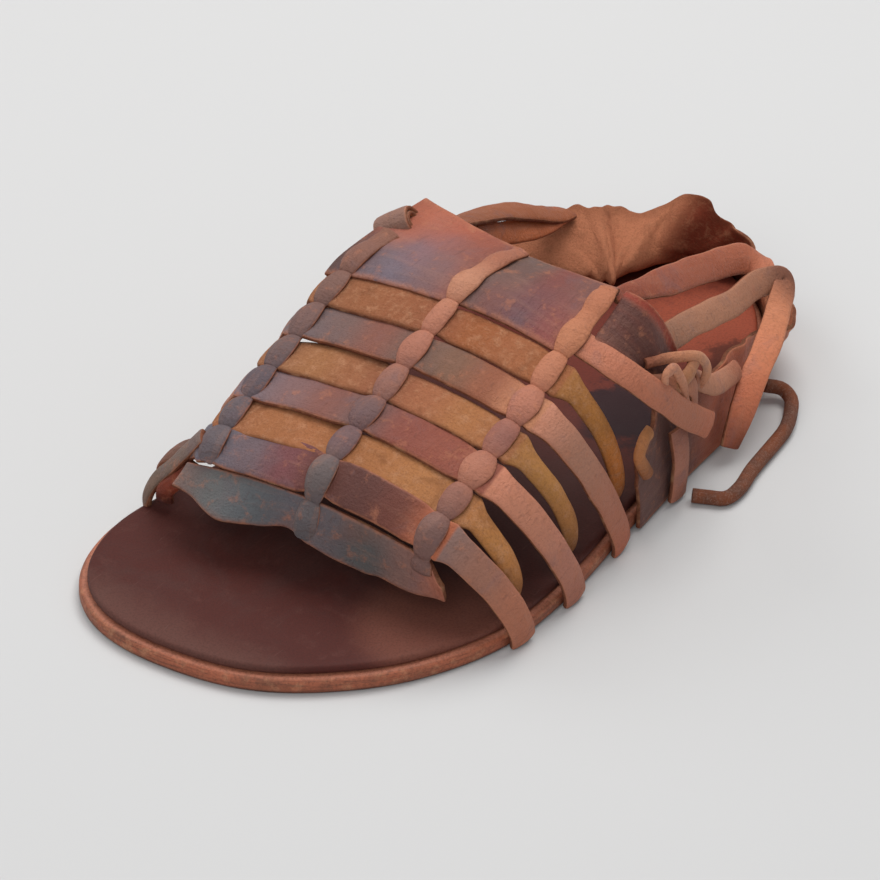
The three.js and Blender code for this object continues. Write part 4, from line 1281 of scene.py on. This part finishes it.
class SANDAL_OT_heel_cup(bpy.types.Operator):
    """Forms the low heel cup with its soft folds"""
    bl_idname = "sandal.heel_cup"
    bl_label = "Heel cup"

    def execute(self, context):
        first, last = CUP[0][0], CUP[-1][0]
        # The wall starts at the foot, stays upright over a share of its height, and slumps over the shelf.
        foot, upright, shelf = 0.8, 0.12, INSOLE_TOP + 1.9

        def profile(turn, level):
            rim = CUP_HEIGHT * table_value(CUP, 1, turn)
            lean, slump = table_value(CUP, 2, turn), table_value(CUP, 3, turn)
            fold = math.sin(turn * 0.42) * 0.9 + math.sin(turn * 0.93 + 1) * 0.5
            rise = max(level - upright, 0) / (1 - upright)
            z = foot + (rim - foot) * level
            over = min(max((z - shelf) / (rim - shelf), 0), 1)
            sag = slump * math.sin(math.pi * over ** 0.6)
            return SIDE_GAP + CUP_WALL / 2 - lean * rise ** 1.6 + fold * rise - sag * 1.12, z, rise

        def shape(u, a):
            turn = first + (last - first) * u
            away, z, rise = profile(turn, a + 0.5)
            spot = (*outline(turn), z)
            soft = min(rise * 2.5, 1) * (0.35 + 0.65 * ramp(turn, 116, 130))
            folds = 1.5 * wander(spot, 11, 2) + 1.2 * wander(spot, 5, 5)
            folds -= 1.5 * max(1 - 3.5 * abs(wander(spot, 13, 14)), 0)
            for at, level, wide, deep, lean in CUP_FOLDS:
                bend = (turn - at + lean * (a + 0.5 - level)) / wide
                folds -= deep * math.exp(-bend * bend) * math.exp(-((a + 0.5 - level) / 0.26) ** 2)
            p = outline(turn, away + folds * soft)
            return np.array([p[0], p[1], z + 0.5 * wander(spot, 8, 8) * soft]), u * 210, a * 40

        def tint(u, a, point):
            turn = first + (last - first) * u
            front, back = ramp(turn, 102, 114), ramp(turn, 118, 150)
            outer = (1 - front) * srgb((104, 72, 66)) + front * srgb((184, 100, 72))
            base = (1 - back) * outer + back * srgb((190, 122, 90))
            dark = ramp(turn, 150, 158) * (1 - ramp(turn, 174, 183)) * 0.93
            # Painted shade: the hole in the cup is drawn as a dark spot.
            away = ((turn - CUP_HOLE[0]) / 1.2) ** 2 + ((a + 0.5 - CUP_HOLE[1]) / 0.045) ** 2
            return ((1 - dark) * base + dark * srgb((106, 34, 19))) * (1 - 0.8 * math.exp(-away))

        piece = cut_piece("heel_cup_leather", (250, 44), shape, tint, millimetres("cup_thickness"),
                          skins("grain", "cup_suede"), flip=True)
        set_down(piece, "heel_cup")
        return {"FINISHED"}


class SANDAL_OT_loose_thongs(bpy.types.Operator):
    """Lays the upright, far and inner straps and the rolled thong ends at the toe"""
    bl_idname = "sandal.loose_thongs"
    bl_label = "Upright, far and inner straps"

    def execute(self, context):
        rows = (
            ("upright_thong", "upright_strap", STRAP_UPRIGHT, 0.85, 36, 71,
             ((150, 96, 80), (168, 110, 90), (160, 100, 80))),
            ("far_thong", "far_strap", STRAP_FAR, 0.9, 60, 73,
             ((132, 72, 40), (150, 82, 44), (146, 80, 46))),
            ("under_thong", "far_strap", STRAP_UNDER, 0.75, 50, 79,
             ((168, 88, 50), (186, 104, 62), (168, 92, 58))),
            ("inner_thong", "inner_strap", STRAP_INNER, 0.8, 50, 75,
             ((150, 92, 62), (160, 98, 66), (150, 90, 60))),
            ("toe_roll_high", "upper", TOE_ROLL_HIGH, 0.55, 40, 83,
             ((120, 100, 92), (104, 84, 70), (92, 62, 50))),
            ("toe_roll_low", "upper", TOE_ROLL_LOW, 0.5, 30, 85,
             ((112, 54, 38), (134, 58, 36), (84, 36, 28))),
        )
        for name, node, route, share, steps, seed, stops in rows:
            strip = thong_strip(route, THONG * share, steps, 0.4)
            set_down(lay_strip(name, strip, plain_tint(*stops), millimetres("strap_thickness"), skins(), 6,
                               0.3, seed), node)
        return {"FINISHED"}


class SANDAL_OT_stage(bpy.types.Operator):
    """Sets the pale floor and the soft lights"""
    bl_idname = "sandal.stage"
    bl_label = "Floor and lights"

    def execute(self, context):
        scene = context.scene
        clear_selection()
        bpy.ops.mesh.primitive_plane_add(size=6.0, location=(0, 0, 0))
        floor = context.active_object
        floor.name = "floor"
        floor.data.materials.append(finish("floor"))
        scene.world = scene.world or bpy.data.worlds.new("studio")
        scene.world.use_nodes = True
        sky = scene.world.node_tree.nodes["Background"].inputs
        sky["Color"].default_value = (0.88, 0.88, 0.9, 1)
        sky["Strength"].default_value = 0.4
        lamps = (
            ("key_light", (-0.5, -0.1, 1.3), 1.1, 14.0, (1.0, 0.98, 0.95)),
            ("front_light", (1.2, 0.3, 1.0), 1.2, 7.0, (1.0, 0.98, 0.96)),
            ("side_light", (0.1, -1.3, 0.9), 1.0, 5.5, (1.0, 0.98, 0.96)),
        )
        for name, spot, size, power, tone in lamps:
            light = bpy.data.lights.new(name, "AREA")
            light.shape, light.size, light.energy, light.color = "DISK", size, power, tone
            lamp = bpy.data.objects.new(name, light)
            scene.collection.objects.link(lamp)
            lamp.location = spot
            towards = Vector((0, 0, 0.02)) - Vector(spot)
            lamp.rotation_euler = towards.to_track_quat("-Z", "Y").to_euler()
        scene.view_settings.view_transform = "Standard"
        return {"FINISHED"}


class SANDAL_PT_panel(bpy.types.Panel):
    """Lists the sizes, the colours and the pieces of the sandal"""
    bl_idname = "SANDAL_PT_panel"
    bl_label = "Woven leather sandal"
    bl_space_type = "VIEW_3D"
    bl_region_type = "UI"
    bl_category = "Sandal"

    def draw(self, context):
        layout = self.layout
        for group in (context.scene.sandal_sizes, context.scene.sandal_colours):
            box = layout.box()
            for name in group.__annotations__:
                box.prop(group, name)
        for operator in OPERATORS:
            layout.operator(operator.bl_idname)


OPERATORS = (
    SANDAL_OT_camera, SANDAL_OT_lace, SANDAL_OT_outsole, SANDAL_OT_insole, SANDAL_OT_bands,
    SANDAL_OT_columns, SANDAL_OT_flap, SANDAL_OT_rear_panels, SANDAL_OT_ankle_straps, SANDAL_OT_knot,
    SANDAL_OT_heel_cup, SANDAL_OT_loose_thongs, SANDAL_OT_stage,
)
CLASSES = (SandalSizes, SandalColours) + OPERATORS + (SANDAL_PT_panel,)


def register():
    for item in CLASSES:
        bpy.utils.register_class(item)
    bpy.types.Scene.sandal_sizes = bpy.props.PointerProperty(type=SandalSizes)
    bpy.types.Scene.sandal_colours = bpy.props.PointerProperty(type=SandalColours)


def unregister():
    del bpy.types.Scene.sandal_colours
    del bpy.types.Scene.sandal_sizes
    for item in reversed(CLASSES):
        bpy.utils.unregister_class(item)


def main():
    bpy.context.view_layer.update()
    register()
    for operator in OPERATORS:
        kind, name = operator.bl_idname.split(".")
        getattr(getattr(bpy.ops, kind), name)()


if __name__ == "__main__":
    main()
